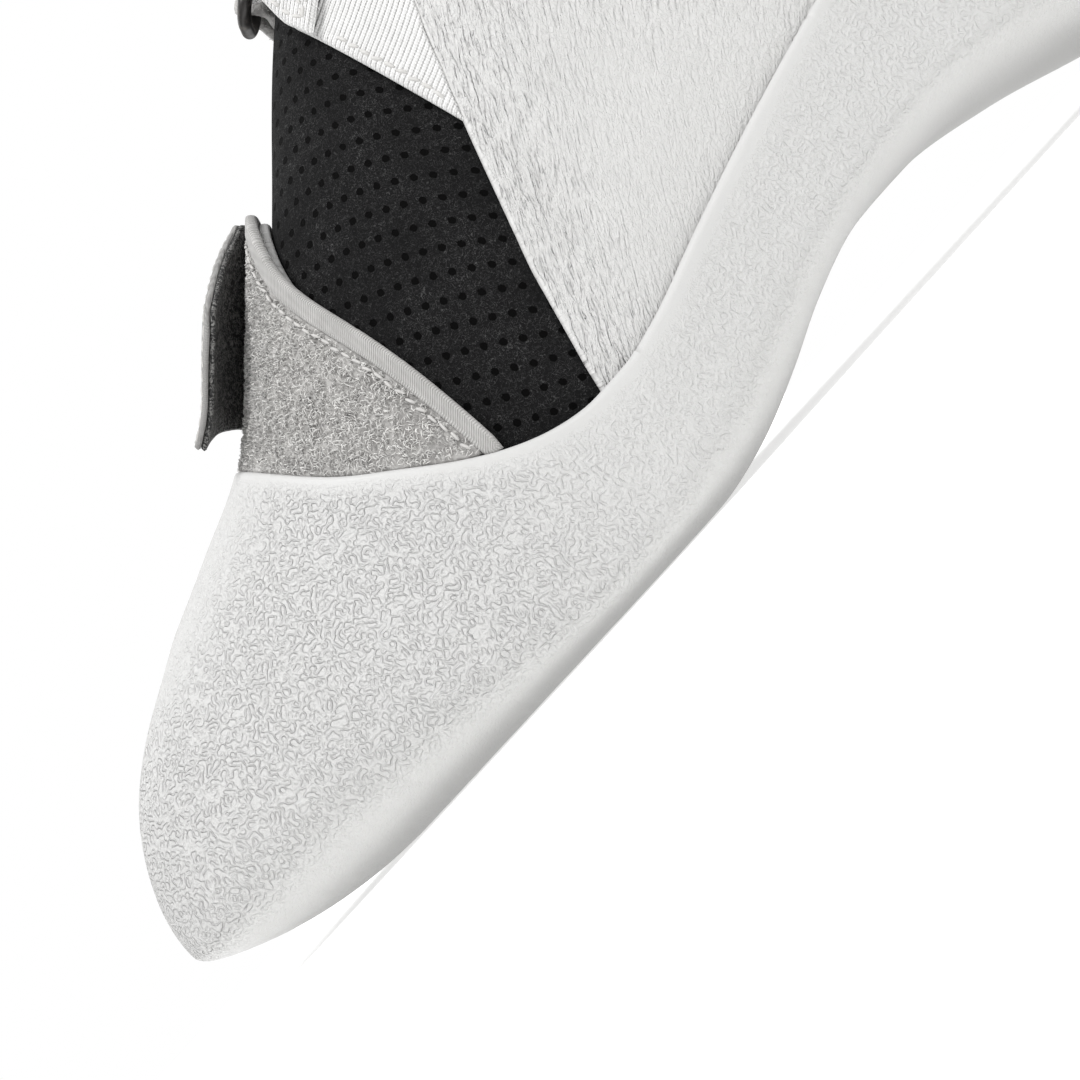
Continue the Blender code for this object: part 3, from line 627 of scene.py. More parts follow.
def leather_finish():
    """Wrinkles along the carried place, over pores and slow dents, with a painted highlight on the
    wrinkle ridges.
    """
    leather = Finish("white_microfibre_face", (0.56, 0.557, 0.55), 0.5, specular=0.4, sheen=0.08)
    laid = leather.carried("laid").outputs["Vector"]
    slim = leather.vector("MULTIPLY", laid, WRINKLE_STRETCH)
    grain = leather.carried("grain").outputs["Fac"]
    ridges = leather.maths("MULTIPLY", leather.worms(1.0, 0.24, 0.3, slim), grain)
    pores = leather.noise(5.0, 3.0, 0.2, laid)
    leather.emboss(ridges, 0.34, 0.9)
    leather.emboss(leather.noise(0.16, 2.0, 0.5, laid), 0.5, 0.35)
    leather.emboss(leather.worms(1.6, 0.12, 0.4, laid), 0.09, 0.7)
    leather.emboss(pores, 0.02, 0.5)
    cloud = leather.noise(45, 3.0)
    body = leather.blend(cloud, (0.52, 0.517, 0.51), (0.585, 0.582, 0.575))
    # The wrinkle ridges are painted lighter: a painted highlight on their tops.
    leather.paint(leather.blend(leather.fit(ridges, 0, 1, 0.0, 0.12), body, (0.63, 0.627, 0.62)))
    leather.dull(leather.fit(pores, 0.3, 0.7, 0.44, 0.6))
    return leather.material


def lining_finish():
    """Grey felted back."""
    lining = Finish("felted_lining", (0.40, 0.39, 0.38), 0.9, sheen=0.3, specular=0.2)
    fluff = lining.noise(1900, 4.0, 1.2)
    lining.emboss(fluff, 0.14, 0.8)
    lining.paint(lining.blend(lining.noise(260, 3.0), (0.33, 0.32, 0.31), (0.47, 0.46, 0.45)))
    return lining.material


LEATHER, LINING = leather_finish(), lining_finish()
print("finishes:", LEATHER.name, LINING.name)


# %% [markdown]
# ### Black perforated suede
# The panel in the throat is a stretchy black microsuede, punched with a slanted lattice of small
# holes. Each point of the panel carries its place counted in holes. The distance to the nearest
# whole number then draws every hole, and it stays on the cloth however the panel curves.

# %% Suede
# One step along a row of holes and one to the next row, in millimetres on the flat cloth
HOLE_STEP, HOLE_ROW = np.array([2.18, -0.71]), np.array([1.21, 2.98])
# The same two steps in station and walk on the foot, where the cloth is stretched
STEP_ON_FOOT, ROW_ON_FOOT = np.array([2.25, 3.75]), np.array([-1.50, 2.05])
# From a hole's middle, where its wall starts and where the cloth is flat again
HOLE_RADIUS, HOLE_RIM = 0.43, 0.55


def suede_finish():
    """Black nap with pale strands, and painted shade for a hole at each whole number of the carried
    place.
    """
    suede = Finish(
        "black_perforated_suede_face", (0.009, 0.009, 0.0093), 0.92, sheen=0.02, specular=0.08)
    holes = suede.carried("holes").outputs["Vector"]
    half = (0.5, 0.5, 0.5)
    near = suede.vector(
        "SUBTRACT", suede.vector("FRACTION", suede.vector("ADD", holes, half)), half)
    parts = suede.node("SeparateXYZ", (0, near))
    squares = []
    for axis in range(2):
        off = suede.maths("ADD", suede.maths("MULTIPLY", parts.outputs[0], HOLE_STEP[axis]),
                          suede.maths("MULTIPLY", parts.outputs[1], HOLE_ROW[axis]))
        squares.append(suede.maths("MULTIPLY", off, off))
    far = suede.maths("SQRT", suede.maths("ADD", *squares))
    far = suede.maths("ADD", far, suede.fit(suede.noise(2600, 2.0), 0.2, 0.8, -0.07, 0.07))
    ground = suede.fit(far, HOLE_RADIUS, HOLE_RIM)
    nap = suede.noise(2400, 3.0, 1.6)
    strands = suede.worms(1500, 0.028, 1.4)
    suede.emboss(nap, 0.12, 0.6)
    suede.emboss(ground, 0.35, 0.9)
    cloud = suede.noise(120, 3.0)
    body = suede.blend(cloud, (0.0045, 0.0045, 0.0047), (0.009, 0.009, 0.0093))
    body = suede.blend(suede.fit(nap, 0.52, 0.75, 0, 0.6), body, (0.024, 0.024, 0.025))
    body = suede.blend(suede.maths("MULTIPLY", strands, suede.fit(cloud, 0.3, 0.8, 0.2, 0.5)),
                       body, (0.13, 0.13, 0.13))
    # Each hole is painted near black: painted shade inside the hole.
    suede.paint(suede.blend(ground, (0.0003, 0.0003, 0.0003), body))
    return suede.material


SUEDE = suede_finish()
print("finish:", SUEDE.name)


# %% [markdown]
# ### Woven and piled cloths
# Tape, webbing and strap are narrow woven goods. Their ribs run across the width at a known pitch,
# so a wave along the carried length draws them, crossed by a finer wave for the warp. An image of
# cloth would do as well, but waves stay sharp at any distance and follow the ribbon round a fold.

# %% Woven goods
def woven_finish(name, dark, light, pitch, warp, depth):
    """Ribs along the carried length, with painted shade in their grooves; pitch, warp and depth in
    millimetres.
    """
    cloth = Finish(name, light, 0.8, sheen=0.15, specular=0.25)
    parts = cloth.node("SeparateXYZ", (0, cloth.carried("laid").outputs["Vector"]))
    along, across = parts.outputs[0], parts.outputs[1]
    uneven = cloth.maths("SUBTRACT", cloth.noise(900, 2.0), 0.5)
    run = cloth.maths("ADD", along, cloth.maths("MULTIPLY", uneven, pitch * 0.2))
    rib = cloth.maths("SINE", cloth.maths("MULTIPLY", run, 2 * math.pi / pitch))
    rib = cloth.fit(rib, -1, 1)
    cross = cloth.maths("SINE", cloth.maths(
        "MULTIPLY", cloth.maths("ADD", across, cloth.maths("MULTIPLY", rib, 0.12)),
        2 * math.pi / warp))
    thread = cloth.maths("MULTIPLY_ADD", cloth.fit(cross, -1, 1), 0.25, rib)
    cloth.emboss(thread, depth, 0.9)
    cloth.emboss(cloth.noise(4200, 2.0), 0.02, 0.5)
    grey = cloth.blend(cloth.noise(240, 3.0), dark, light)
    # The low places between the ribs take the dark colour: painted shade in the grooves.
    cloth.paint(cloth.blend(cloth.fit(thread, 0.05, 0.9), dark, grey))
    return cloth.material


TAPE = woven_finish(
    "grosgrain_tape_face", (0.34, 0.335, 0.325), (0.62, 0.61, 0.60), 0.42, 0.9, 0.16)
WEBBING = woven_finish(
    "ribbed_webbing_face", (0.70, 0.697, 0.69), (0.95, 0.947, 0.94), 0.80, 0.55, 0.42)
STRAP_CLOTH = woven_finish(
    "grey_strap_face", (0.27, 0.265, 0.26), (0.40, 0.395, 0.385), 0.5, 0.5, 0.08)
print("finishes:", TAPE.name, WEBBING.name, STRAP_CLOTH.name)


# %% [markdown]
# ### Pile, hooks and thread
# Loop pile is a grey ground with real loops on it, and its loops carry a tone of their own, because
# no two threads of a pile catch the light alike. The hook tape is dark with a few pale hooks, too
# small to model one by one, so ridges of noise draw them. Sewing thread is twisted, which a fine
# bump shows.

# %% Pile, hooks and thread
# Pitch of the hooks in millimetres
HOOK_PITCH = 0.85


def pile_finish():
    """Grey fluff whose tone comes from the loops."""
    pile = Finish("grey_loop_pile_face", (0.36, 0.355, 0.345), 0.85, sheen=0.25, specular=0.25)
    tone = pile.carried("tone").outputs["Fac"]
    fluff = pile.noise(1300, 3.0, 1.5)
    pile.emboss(fluff, 0.25, 0.8)
    pile.paint(pile.blend(tone, (0.27, 0.262, 0.255), (0.86, 0.85, 0.83)))
    return pile.material


def hook_finish():
    """Dark ground with rows of small humps and pale hooks."""
    hook = Finish("dark_hook_face", (0.03, 0.03, 0.03), 0.6, specular=0.35)
    parts = hook.node("SeparateXYZ", (0, hook.carried("laid").outputs["Vector"]))
    dots = hook.maths("MULTIPLY", *(
        hook.fit(hook.maths("SINE", hook.maths(
            "MULTIPLY", parts.outputs[i], 2 * math.pi / HOOK_PITCH)), 0.0, 0.9)
        for i in range(2)))
    hook.emboss(hook.maths("ADD", dots, hook.noise(1800, 2.0, 1.0)), 0.3, 0.9)
    hook.paint(hook.blend(hook.worms(1300, 0.09, 1.2), (0.022, 0.022, 0.022), (0.21, 0.207, 0.20)))
    return hook.material


def thread_finish(name, colour):
    """Twisted thread, a little darker in its grooves."""
    thread = Finish(name, colour, 0.6, sheen=0.1, specular=0.35)
    thread.emboss(thread.noise(3800, 2.0), 0.05, 0.8)
    shade = tuple(c * 0.78 for c in colour)
    thread.paint(thread.blend(thread.noise(2100, 2.0), shade, colour))
    return thread.material


PILE, HOOK = pile_finish(), hook_finish()
LIGHT_THREAD = thread_finish("light_thread", (0.62, 0.61, 0.595))
GREY_THREAD = thread_finish("grey_thread", (0.56, 0.55, 0.535))
print("finishes:", PILE.name, HOOK.name, LIGHT_THREAD.name, GREY_THREAD.name)


# %% [markdown]
# ### Coated wire and footbed
# The ring is bent from round wire and dipped in a black coat, which wears a little brown in
# patches, so one slow noise mixes both colours. The footbed is a pressed felt that nobody sees
# until they look inside.

# %% Wire and felt
def wire_finish():
    """Satin black coat, worn in patches."""
    wire = Finish("black_coated_wire_face", (0.045, 0.042, 0.04), 0.38, metallic=0.55, specular=0.5)
    wire.emboss(wire.noise(2600, 3.0), 0.015, 0.6)
    cloud = wire.noise(420, 4.0)
    wire.paint(wire.blend(wire.fit(cloud, 0.5, 0.8), (0.035, 0.033, 0.032), (0.16, 0.145, 0.13)))
    wire.dull(wire.fit(cloud, 0.3, 0.7, 0.30, 0.48))
    return wire.material


def felt_finish():
    """Matte grey felt."""
    felt = Finish("pressed_felt", (0.30, 0.29, 0.28), 0.95, sheen=0.25, specular=0.15)
    felt.emboss(felt.noise(1500, 4.0, 1.5), 0.15, 0.8)
    felt.paint(felt.blend(felt.noise(700, 4.0, 0.8), (0.24, 0.23, 0.225), (0.37, 0.36, 0.35)))
    return felt.material


WIRE, FELT = wire_finish(), felt_finish()
print("finishes:", WIRE.name, FELT.name)


# %% [markdown]
# ## The rubber shell
# On the real shoe the sole, the toe rand and the heel rand are one moulding. It could be lofted
# again, but cutting it out of the form along its own top edge keeps sole, corner and rand in one
# skin. The edge is pulled in a little first, because the roll puts that width back.

# %% Rubber shell
SHELL_ROLL = 0.75
shell = trim(FOOT, rubber_line(FOOT) - FOOT["place"][:, 2] - SHELL_ROLL)


def grain_share(sheet):
    """How coarse the moulded grain is: full on the toe box, fine below, smooth at the edge."""
    away = soft_step(rubber_line(sheet) - sheet["place"][:, 2], 1.2, 4.5)
    side = soft_step(sheet["level"], 0.55, 0.95)
    toe = 1 - soft_step(sheet["station"], 62, 96)
    crown = soft_step(np.abs(sheet["walk"]), 6, 22)
    return away * (0.10 + 0.90 * side * (0.32 + 0.68 * toe) * (0.25 + 0.75 * crown))


points, faces, source, _ = wall(shell, 0.0, shell_depth(shell["level"]), SHELL_ROLL)
outside = np.arange(len(points)) < len(shell["place"])
make_piece(
    "rubber_shell_skin", points, faces, [RUBBER], "rubber_shell",
    {"grain": grain_share(shell)[source] * outside})

# %% [markdown]
# ## Creases in the upper
# An empty shoe of thin leather never sits quite smooth. Noise alone looks like crumpled paper, so
# the main folds are placed one by one: each has a place on the foot, a direction, a length, a width
# and a depth, as a maker would mark them on the leather.

# %% Creases
# Station, walk from the crown, direction in degrees from the shoe's length, length, width, depth
CREASES = (
    (97, -64, 62, 16, 2.6, -0.45), (102, -66, 70, 15, 2.2, 0.35), (108, -70, 74, 17, 3.0, -0.50),
    (116, -62, 80, 20, 3.6, 0.40), (124, -70, 66, 24, 3.4, -0.55), (98, 66, 60, 16, 2.6, -0.45),
    (108, 72, 74, 18, 3.0, -0.50), (124, 70, 66, 24, 3.4, -0.55), (119, -40, 84, 22, 3.2, 0.45),
    (124, -36, 88, 20, 3.0, -0.50), (119, 42, 84, 22, 3.2, 0.45), (125, 38, 88, 20, 3.0, -0.50),
    (148, -62, 18, 36, 5.0, -0.80), (156, -72, 14, 34, 4.0, 0.55), (166, -64, 8, 40, 5.0, -0.75),
    (148, 62, 18, 36, 5.0, -0.80), (158, 72, 14, 34, 4.0, 0.55), (168, 64, 8, 40, 5.0, -0.75),
    (186, -62, -6, 34, 4.6, -0.60), (190, 62, -6, 34, 4.6, -0.60), (196, -74, 4, 30, 4.0, 0.45),
)


# How much a fold bows, and the shares of its length and width over which it fades
FOLD_BOW, FOLD_LONG, FOLD_WIDE = 0.012, 0.42, 0.55


def creased(sheet, creases):
    """Heights of the listed folds at the points of a sheet."""
    station, walk = sheet["station"], sheet["walk"]
    lift = np.zeros(len(station))
    for at, round_foot, turn, long, wide, deep in creases:
        turn = math.radians(turn) * (-1 if round_foot < 0 else 1)
        east, north = station - at, walk - round_foot
        run = east * math.cos(turn) + north * math.sin(turn)
        off = north * math.cos(turn) - east * math.sin(turn)
        off = off + FOLD_BOW * run**2 * np.sign(deep)
        lift += deep * np.exp(-((run / (long * FOLD_LONG)) ** 4)) \
            * np.exp(-((off / (wide * FOLD_WIDE)) ** 2))
    return lift


print("creases in the upper:", len(CREASES))


# %% [markdown]
# ## The upper
# The upper is one soft skin from the toe to the heel, open at the throat and at the collar, with
# its margin turned in under the footbed. It lies a gap inside the rubber where both overlap. It is
# cut from the form between its own edge lines, and the creases lift it where no rubber holds it.

# %% Upper
# Level at which the turned-in margin ends, and how far the vamp stops short of the throat's edge
MARGIN_LEVEL, VAMP_SETBACK = 0.4, 0.8
UPPER_GAP, UPPER_WALL, UPPER_ROLL = 0.3, 1.5, 0.5
WRINKLE_TURN = math.radians(47)


def laid_along(sheet, turn):
    """Place on the cloth in millimetres, turned so that its first number runs along the grain."""
    station, walk = sheet["station"], np.abs(sheet["walk"])
    return np.stack([
        station * math.cos(turn) - walk * math.sin(turn),
        station * math.sin(turn) + walk * math.cos(turn), np.sign(sheet["walk"])], axis=1)


def wrinkle_share(sheet):
    """The wrinkles are strongest near the free front edge and fade toward the rubber."""
    return 1 - 0.75 * soft_step(upper_line(sheet) - sheet["place"][:, 2], 6, 46)


upper = trim(FOOT, FOOT["level"] - MARGIN_LEVEL)
upper_keep = np.maximum(
    upper["place"][:, 1] - front_line(upper["place"][:, 0]) - VAMP_SETBACK,
    upper_line(upper) - upper["place"][:, 2]) - UPPER_ROLL
upper = trim(upper, upper_keep)
free = soft_step(upper["place"][:, 2] - rubber_line(upper), -1.0, 5.0)
upper["lift"] = creased(upper, CREASES) * free
outer = shell_depth(upper["level"]) + UPPER_GAP
points, faces, source, pick = wall(upper, outer, outer + UPPER_WALL, UPPER_ROLL)
make_piece(
    "upper_skin", points, faces, [LEATHER, LINING], "upper",
    {"laid": laid_along(upper, WRINKLE_TURN)[source], "grain": wrinkle_share(upper)[source]},
    (pick == 1).astype(int))

# %% [markdown]
# ## The throat panel
# The black panel lies under the quarters and the vamp and closes the throat. It is cut from the
# form a layer deeper, and its holes are laid out in numbers here: one unit is one hole. Real holes
# cut with a Boolean would need thousands of cuts, and at a millimetre wide nobody would see more.

# %% Throat panel
PANEL_OUTER, PANEL_INNER, PANEL_ROLL = 3.9, 5.5, 0.6
# Stations of its two ends, how far it runs on under the quarters, and its lowest height
PANEL_FRONT, PANEL_BACK, PANEL_UNDER, PANEL_LOWEST = 69, 131, 8.0, 11.0
panel = trim(FOOT, FOOT["level"] - 1.0)
lowest = np.maximum(upper_line(panel) - PANEL_UNDER, PANEL_LOWEST)
ends = np.minimum(panel["station"] - PANEL_FRONT, PANEL_BACK - panel["station"])
panel = trim(panel, np.minimum(panel["place"][:, 2] - lowest, ends) - PANEL_ROLL)
# The same columns as the creases of the upper
PANEL_WAVES = (
    (92, -16, 80, 26, 7.0, -0.35), (100, -30, 84, 24, 6.0, 0.25), (112, -22, 86, 30, 8.0, -0.35),
    (92, 18, 80, 26, 7.0, -0.35), (112, 24, 86, 30, 8.0, -0.35),
)
panel["lift"] = creased(panel, PANEL_WAVES)
points, faces, source, pick = wall(panel, PANEL_OUTER, PANEL_INNER, PANEL_ROLL)
lattice = np.linalg.inv(np.stack([STEP_ON_FOOT, ROW_ON_FOOT], axis=1))
cloth_place = np.stack([panel["station"], np.abs(panel["walk"])], axis=1) @ lattice.T
holes = np.concatenate([cloth_place, np.zeros((len(cloth_place), 1))], axis=1)
make_piece(
    "throat_panel", points, faces, [SUEDE, LINING], "tongue",
    {"holes": holes[source]}, (pick == 1).astype(int))

# %% [markdown]
# ## The footbed
# A thin felt board lies on the upper's bottom. It is only seen through the collar, so it takes
# one cut and one roll.

# %% Footbed
BED_FRONT, BED_BACK, BED_LEVEL = 12, 243, 0.6
BED_UNDERSIDE, BED_TOP, BED_ROLL = 5.7, 7.9, 0.5
bed = trim(FOOT, BED_LEVEL - FOOT["level"])
bed = trim(bed, np.minimum(bed["station"] - BED_FRONT, BED_BACK - bed["station"]) - BED_ROLL)
points, faces, _, _ = wall(bed, BED_UNDERSIDE, BED_TOP, BED_ROLL)
make_piece("footbed_felt", points, faces, [FELT], "insole")

# %% [markdown]
# ## The loop patch and its binding
# The lower strap grips a patch of loop pile on the vamp. The patch ends at the throat under a
# ribbed tape, and a line of light stitches holds both. The ground is cut from the form, and then
# thousands of small loops are set on it, each a bent three-sided tube with its own tone. A hair
# system could grow them, but plain tubes come out the same in every program.

# %% The vamp's own sheet
# Stations of its two ends, how far it passes the crown, and how far its edge lies in the rubber's
VAMP_FRONT, VAMP_BACK, PAST_CROWN, VAMP_SHIFT = 36, 100, 7.0, -0.7


def vamp_sheet(extra):
    """The form over the vamp, above the rubber and on the medial side of the crown's far edge."""
    sheet = trim(FOOT, FOOT["level"] - 1.0)
    x, y = sheet["place"][:, 0], sheet["place"][:, 1]
    above = sheet["place"][:, 2] - rubber_line(sheet, VAMP_SHIFT)
    keep = np.minimum(above, crown_x(y) + PAST_CROWN - x)
    ends = np.minimum(sheet["station"] - VAMP_FRONT, VAMP_BACK - sheet["station"])
    return trim(sheet, np.minimum(np.minimum(keep, ends), extra(x, y)))


# %% Random places and thin tubes
def scattered(points, faces, count):
    """Random places on triangles, with even cover: points and normals."""
    corners = points[faces]
    facing = np.cross(corners[:, 1] - corners[:, 0], corners[:, 2] - corners[:, 0])
    area = np.linalg.norm(facing, axis=1)
    chosen = dice.choice(len(faces), count, p=area / area.sum())
    u, v = dice.random(count), dice.random(count)
    u, v = np.where(u + v > 1, 1 - u, u), np.where(u + v > 1, 1 - v, v)
    a, b, c = corners[chosen].transpose(1, 0, 2)
    spot = a + (b - a) * u[:, None] + (c - a) * v[:, None]
    return spot, facing[chosen] / area[chosen][:, None]


def tubes(paths, outs, radius, sides):
    """Thin tubes along many short paths at once: points and faces."""
    count, steps, _ = paths.shape
    along = np.gradient(paths, axis=1)
    along /= np.maximum(np.linalg.norm(along, axis=2), 1e-9)[..., None]
    one = np.cross(along, outs[:, None, :])
    one /= np.maximum(np.linalg.norm(one, axis=2), 1e-9)[..., None]
    two = np.cross(along, one)
    turn = 2 * math.pi * np.arange(sides) / sides
    ring = one[:, :, None] * np.cos(turn)[:, None] + two[:, :, None] * np.sin(turn)[:, None]
    taper = np.ones(steps)
    taper[-1] = 0.6
    points = paths[:, :, None] + ring * radius * taper[None, :, None, None]
    index = np.arange(count * steps * sides).reshape(count, steps, sides)
    near, far = index[:, :-1], index[:, 1:]
    quads = np.stack([near, np.roll(near, -1, axis=2), np.roll(far, -1, axis=2), far], axis=-1)
    return points.reshape(-1, 3), quads.reshape(-1, 4)


# %% Loops
LOOPS = 7200
LOOP_STEPS, LOOP_SIDES, LOOP_ROOT = 5, 3, 0.06
# Height, reach and radius of the loops on the patch and on the closing strap
PATCH_LOOP, STRAP_LOOP = (0.62, 0.36, 0.055), (0.32, 0.34, 0.06)
# Lightest tone of the ground between the loops, where 0 is the dark and 1 the light end; the ground
# stays darker than the loops as painted shade under them
GROUND_TONE = 0.35


def loops_on(points, faces, count, height, reach, radius):
    """Small curly loops standing on a surface, with a tone for each loop."""
    spot, out = scattered(points, faces, count)
    east = np.cross(out, dice.normal(size=(count, 3)))
    east /= np.linalg.norm(east, axis=1)[:, None]
    north = np.cross(out, east)
    phase = np.linspace(0, math.pi, LOOP_STEPS)[None, :, None]
    tall = (height * dice.uniform(0.5, 1.15, count))[:, None, None]
    wide = (reach * dice.uniform(0.6, 1.4, count))[:, None, None]
    bend = (reach * dice.uniform(-0.9, 0.9, count))[:, None, None]
    paths = (spot - out * LOOP_ROOT)[:, None] + east[:, None] * wide * np.cos(phase) \
        + out[:, None] * tall * np.sin(phase) + north[:, None] * bend * np.sin(phase)
    tube_points, quads = tubes(paths, north, radius, LOOP_SIDES)
    tone = np.clip(dice.normal(0.58, 0.30, count), 0.05, 1.0)
    return tube_points, quads, np.repeat(tone, LOOP_STEPS * LOOP_SIDES)


def make_piled(name, points, faces, top, loop, node):
    """A piece of pile cloth: its ground, and loops on the triangles of its top."""
    # The ground gets a random tone, darker than the loops: painted shade under the loops.
    tone = dice.uniform(0.0, GROUND_TONE, len(points))
    loop_points, quads, loop_tone = loops_on(points, top, LOOPS, *loop)
    make_piece(
        name, np.concatenate([points, loop_points]),
        [*faces.tolist(), *(quads + len(points)).tolist()], [PILE], node,
        {"tone": np.concatenate([tone, loop_tone])})


# %% Loop patch
# Gap from the throat's edge, and depths of the patch's two faces under the form
PATCH_SETBACK, PATCH_TOP, VAMP_UNDERSIDE, PATCH_ROLL = 2.7, 0.75, 1.8, 0.35
patch = vamp_sheet(lambda x, y: y - front_line(x) - PATCH_SETBACK)
points, faces, _, pick = wall(patch, PATCH_TOP, VAMP_UNDERSIDE, PATCH_ROLL, rows=3)
make_piled("loop_pile_patch", points, faces, faces[pick == 0], PATCH_LOOP, "pile_patch")

# %% [markdown]
# ## The binding tape
# Tape is folded over the raw edge of the patch, so it is a little proud of it and round along
# both long sides. It could be a curve with a bevel, but a strip cut from the form sits flat on the
# patch. Its ribs run across, so the carried length is the walk along the throat.

# %% Binding tape
TAPE_WIDTH, TAPE_TRIM, TAPE_TOP, TAPE_ROLL = 2.4, 0.45, 0.1, 0.6
binding = vamp_sheet(
    lambda x, y: np.minimum(y - front_line(x), front_line(x) + TAPE_WIDTH - y) - TAPE_TRIM)
points, faces, source, _ = wall(binding, TAPE_TOP, VAMP_UNDERSIDE, TAPE_ROLL)
laid = np.stack([
    binding["walk"], binding["station"], np.zeros(len(binding["walk"]))], axis=1)
make_piece(
    "vamp_binding_tape", points, faces, [TAPE], "vamp_binding",
    {"laid": laid[source]})


# %% [markdown]
# ## Walking on the foot
# Straps are laid by walking from the crown down one side. A table of sections turns a station and
# a walk into a point of the form, and the way out of the form there lifts a strap to its height.
# A Shrinkwrap modifier could press a strap on the foot, but its length would be left to chance.

# %% Sections of the foot
WALK_STEP, WALK_REACH, SECTION_POINTS = 0.5, 135, 130
WALKS = np.arange(-WALK_REACH, WALK_REACH + 0.1, WALK_STEP)
STATIONS = np.arange(TOE_POLE, HEEL_POLE + 0.1, 1.0)


def section_row(station):
    """Points across one section at even walks, from the medial side to the lateral side."""
    halves = []
    levels = np.linspace(0, 2, SECTION_POINTS)
    for side in (-1, 1):
        centre, rim = outline_hit("mid", station, side)
        rims = np.repeat(rim[None], SECTION_POINTS, 0)
        halves.append(foot_points(centre[None], rims, side, levels))
    line = np.concatenate([halves[0], halves[1][::-1][1:]])
    gone = np.concatenate([[0], np.cumsum(np.linalg.norm(np.diff(line, axis=0), axis=1))])
    gone -= gone[SECTION_POINTS - 1]
    return np.stack([np.interp(WALKS, gone, line[:, i]) for i in range(3)], axis=1)


SECTIONS = np.array([section_row(b) for b in STATIONS])
print("sections:", SECTIONS.shape)

# %% Places on the foot
# Half the distance over which the slope of the form is read
SLOPE_REACH = 1.2


def between(grid, row, column):
    """Values of a grid at places between its points, given as broken row and column numbers."""
    a = np.minimum(row.astype(int), grid.shape[0] - 2)
    b = np.minimum(column.astype(int), grid.shape[1] - 2)
    s, t = (row - a)[..., None], (column - b)[..., None]
    first = grid[a, b] * (1 - t) + grid[a, b + 1] * t
    return first * (1 - s) + (grid[a + 1, b] * (1 - t) + grid[a + 1, b + 1] * t) * s


def on_foot(station, walk):
    """Points of the form at these stations and walks."""
    row = np.clip((np.asarray(station, float) - STATIONS[0]), 0, len(STATIONS) - 1.001)
    column = np.clip((np.asarray(walk, float) - WALKS[0]) / WALK_STEP, 0, len(WALKS) - 1.001)
    return between(SECTIONS, row, column)


def way_out(station, walk):
    """The outward way of the form at these stations and walks."""
    across = on_foot(station, walk + SLOPE_REACH) - on_foot(station, walk - SLOPE_REACH)
    along = on_foot(station - SLOPE_REACH, walk) - on_foot(station + SLOPE_REACH, walk)
    out = np.cross(across, along)
    return out / np.linalg.norm(out, axis=-1)[..., None]


def skin(station, walk, depth):
    """Points at a depth under the form, or over it where the depth is negative."""
    depth = np.asarray(depth, float)
    return on_foot(station, walk) - way_out(station, walk) * depth[..., None]


print("crown at the throat, in millimetres:", on_foot(THROAT_STATION, 0.0).round(1))


# %% [markdown]
# ## Straps
# A strap is a ribbon: a grid of middle points with a thickness. Blender could solidify a plane,
# but a ribbon built from its grid can thin out smoothly toward its cut edges, and its points know
# how far along and across the cloth they are, which the weave needs.

# %% Ribbon
# Width over which a ribbon thins out at its two ends, and the share of its thickness left there
END_EDGE, EDGE_SHARE = 0.5, 0.12


def ribbon(middle, thickness, sides, from_end=False):
    """Closed ribbon round a grid of rows: points, faces, side of each face, laid place, way out."""
    across = np.gradient(middle, axis=0)
    along = np.gradient(middle, axis=1)
    out = np.cross(across, along)
    out /= np.linalg.norm(out, axis=2)[..., None]
    wide, long = middle.shape[:2]
    step_a = np.linalg.norm(np.diff(middle, axis=0), axis=2).mean(axis=1)
    gone_a = np.concatenate([[0], np.cumsum(step_a)])
    gone_l = np.concatenate([
        np.zeros((wide, 1)), np.cumsum(np.linalg.norm(np.diff(middle, axis=1), axis=2), axis=1)], 1)
    near_a = np.minimum(gone_a, gone_a[-1] - gone_a)[:, None] / sides
    to_end = gone_l[:, -1:] - gone_l
    near_l = np.minimum(gone_l, to_end) / END_EDGE
    near = np.clip(np.minimum(near_a, near_l), 0, 1)
    half = thickness / 2 * np.sqrt(1 - (1 - near) ** 2)
    half = np.maximum(half, thickness * EDGE_SHARE)[..., None]
    points = np.concatenate([middle + out * half, middle - out * half]).reshape(-1, 3)
    count = wide * long
    index = np.arange(count).reshape(wide, long)
    quads = np.stack([
        index[:-1, :-1], index[:-1, 1:], index[1:, 1:], index[1:, :-1]], -1).reshape(-1, 4)
    rim = np.concatenate([index[0, :], index[1:, -1], index[-1, -2::-1], index[-2::-1, 0]])
    a, b = rim[:-1], rim[1:]
    bands = np.stack([b, a, a + count, b + count], axis=1)
    faces = np.concatenate([quads, quads[:, ::-1] + count, bands])
    pick = np.concatenate([np.zeros(len(quads)), np.ones(len(quads)), np.full(len(bands), 2)])
    laid = np.stack([
        to_end if from_end else gone_l, np.broadcast_to(gone_a[:, None], (wide, long)),
        np.zeros((wide, long))], -1)
    return points, faces, pick, np.concatenate([laid.reshape(-1, 3)] * 2), out


def edge_rows(low, high, count):
    """Rows across a ribbon, closer together at both cut edges."""
    share = np.linspace(-1, 1, count)
    share = np.sign(share) * (1 - (1 - abs(share)) ** 1.5)
    return low + (high - low) * (share + 1) / 2


def free_edge_walk(side, station, slant_by, table, spare):
    """Distance from the crown at which a strap meets the edge of the piece it is sewn under."""
    walk = np.arange(4.0, 95.5, WALK_STEP)
    point = on_foot(station + slant_by * walk, side * walk)
    under = point[:, 2] < edge_height(table, point[:, 0], point[:, 1]) + spare
    return walk[np.argmax(under)] if under.any() else walk[-1]


# %% [markdown]
# ### The lower strap
# It is sewn flat on the lateral side and crosses the vamp. Its end is open here, standing off the
# loop patch with its dark hook face showing, as when the shoe has just been taken off. Two layers
# make it: a grey face cloth and the hook tape sewn behind it, with a bright line between them.

# %% Lower strap
# Stations of its two edges, and how many rows and places along each row the cloth has
LOW_STRAP_EDGES, LOW_STRAP_ROWS, LOW_STRAP_STEPS = (57, 79), 30, 84
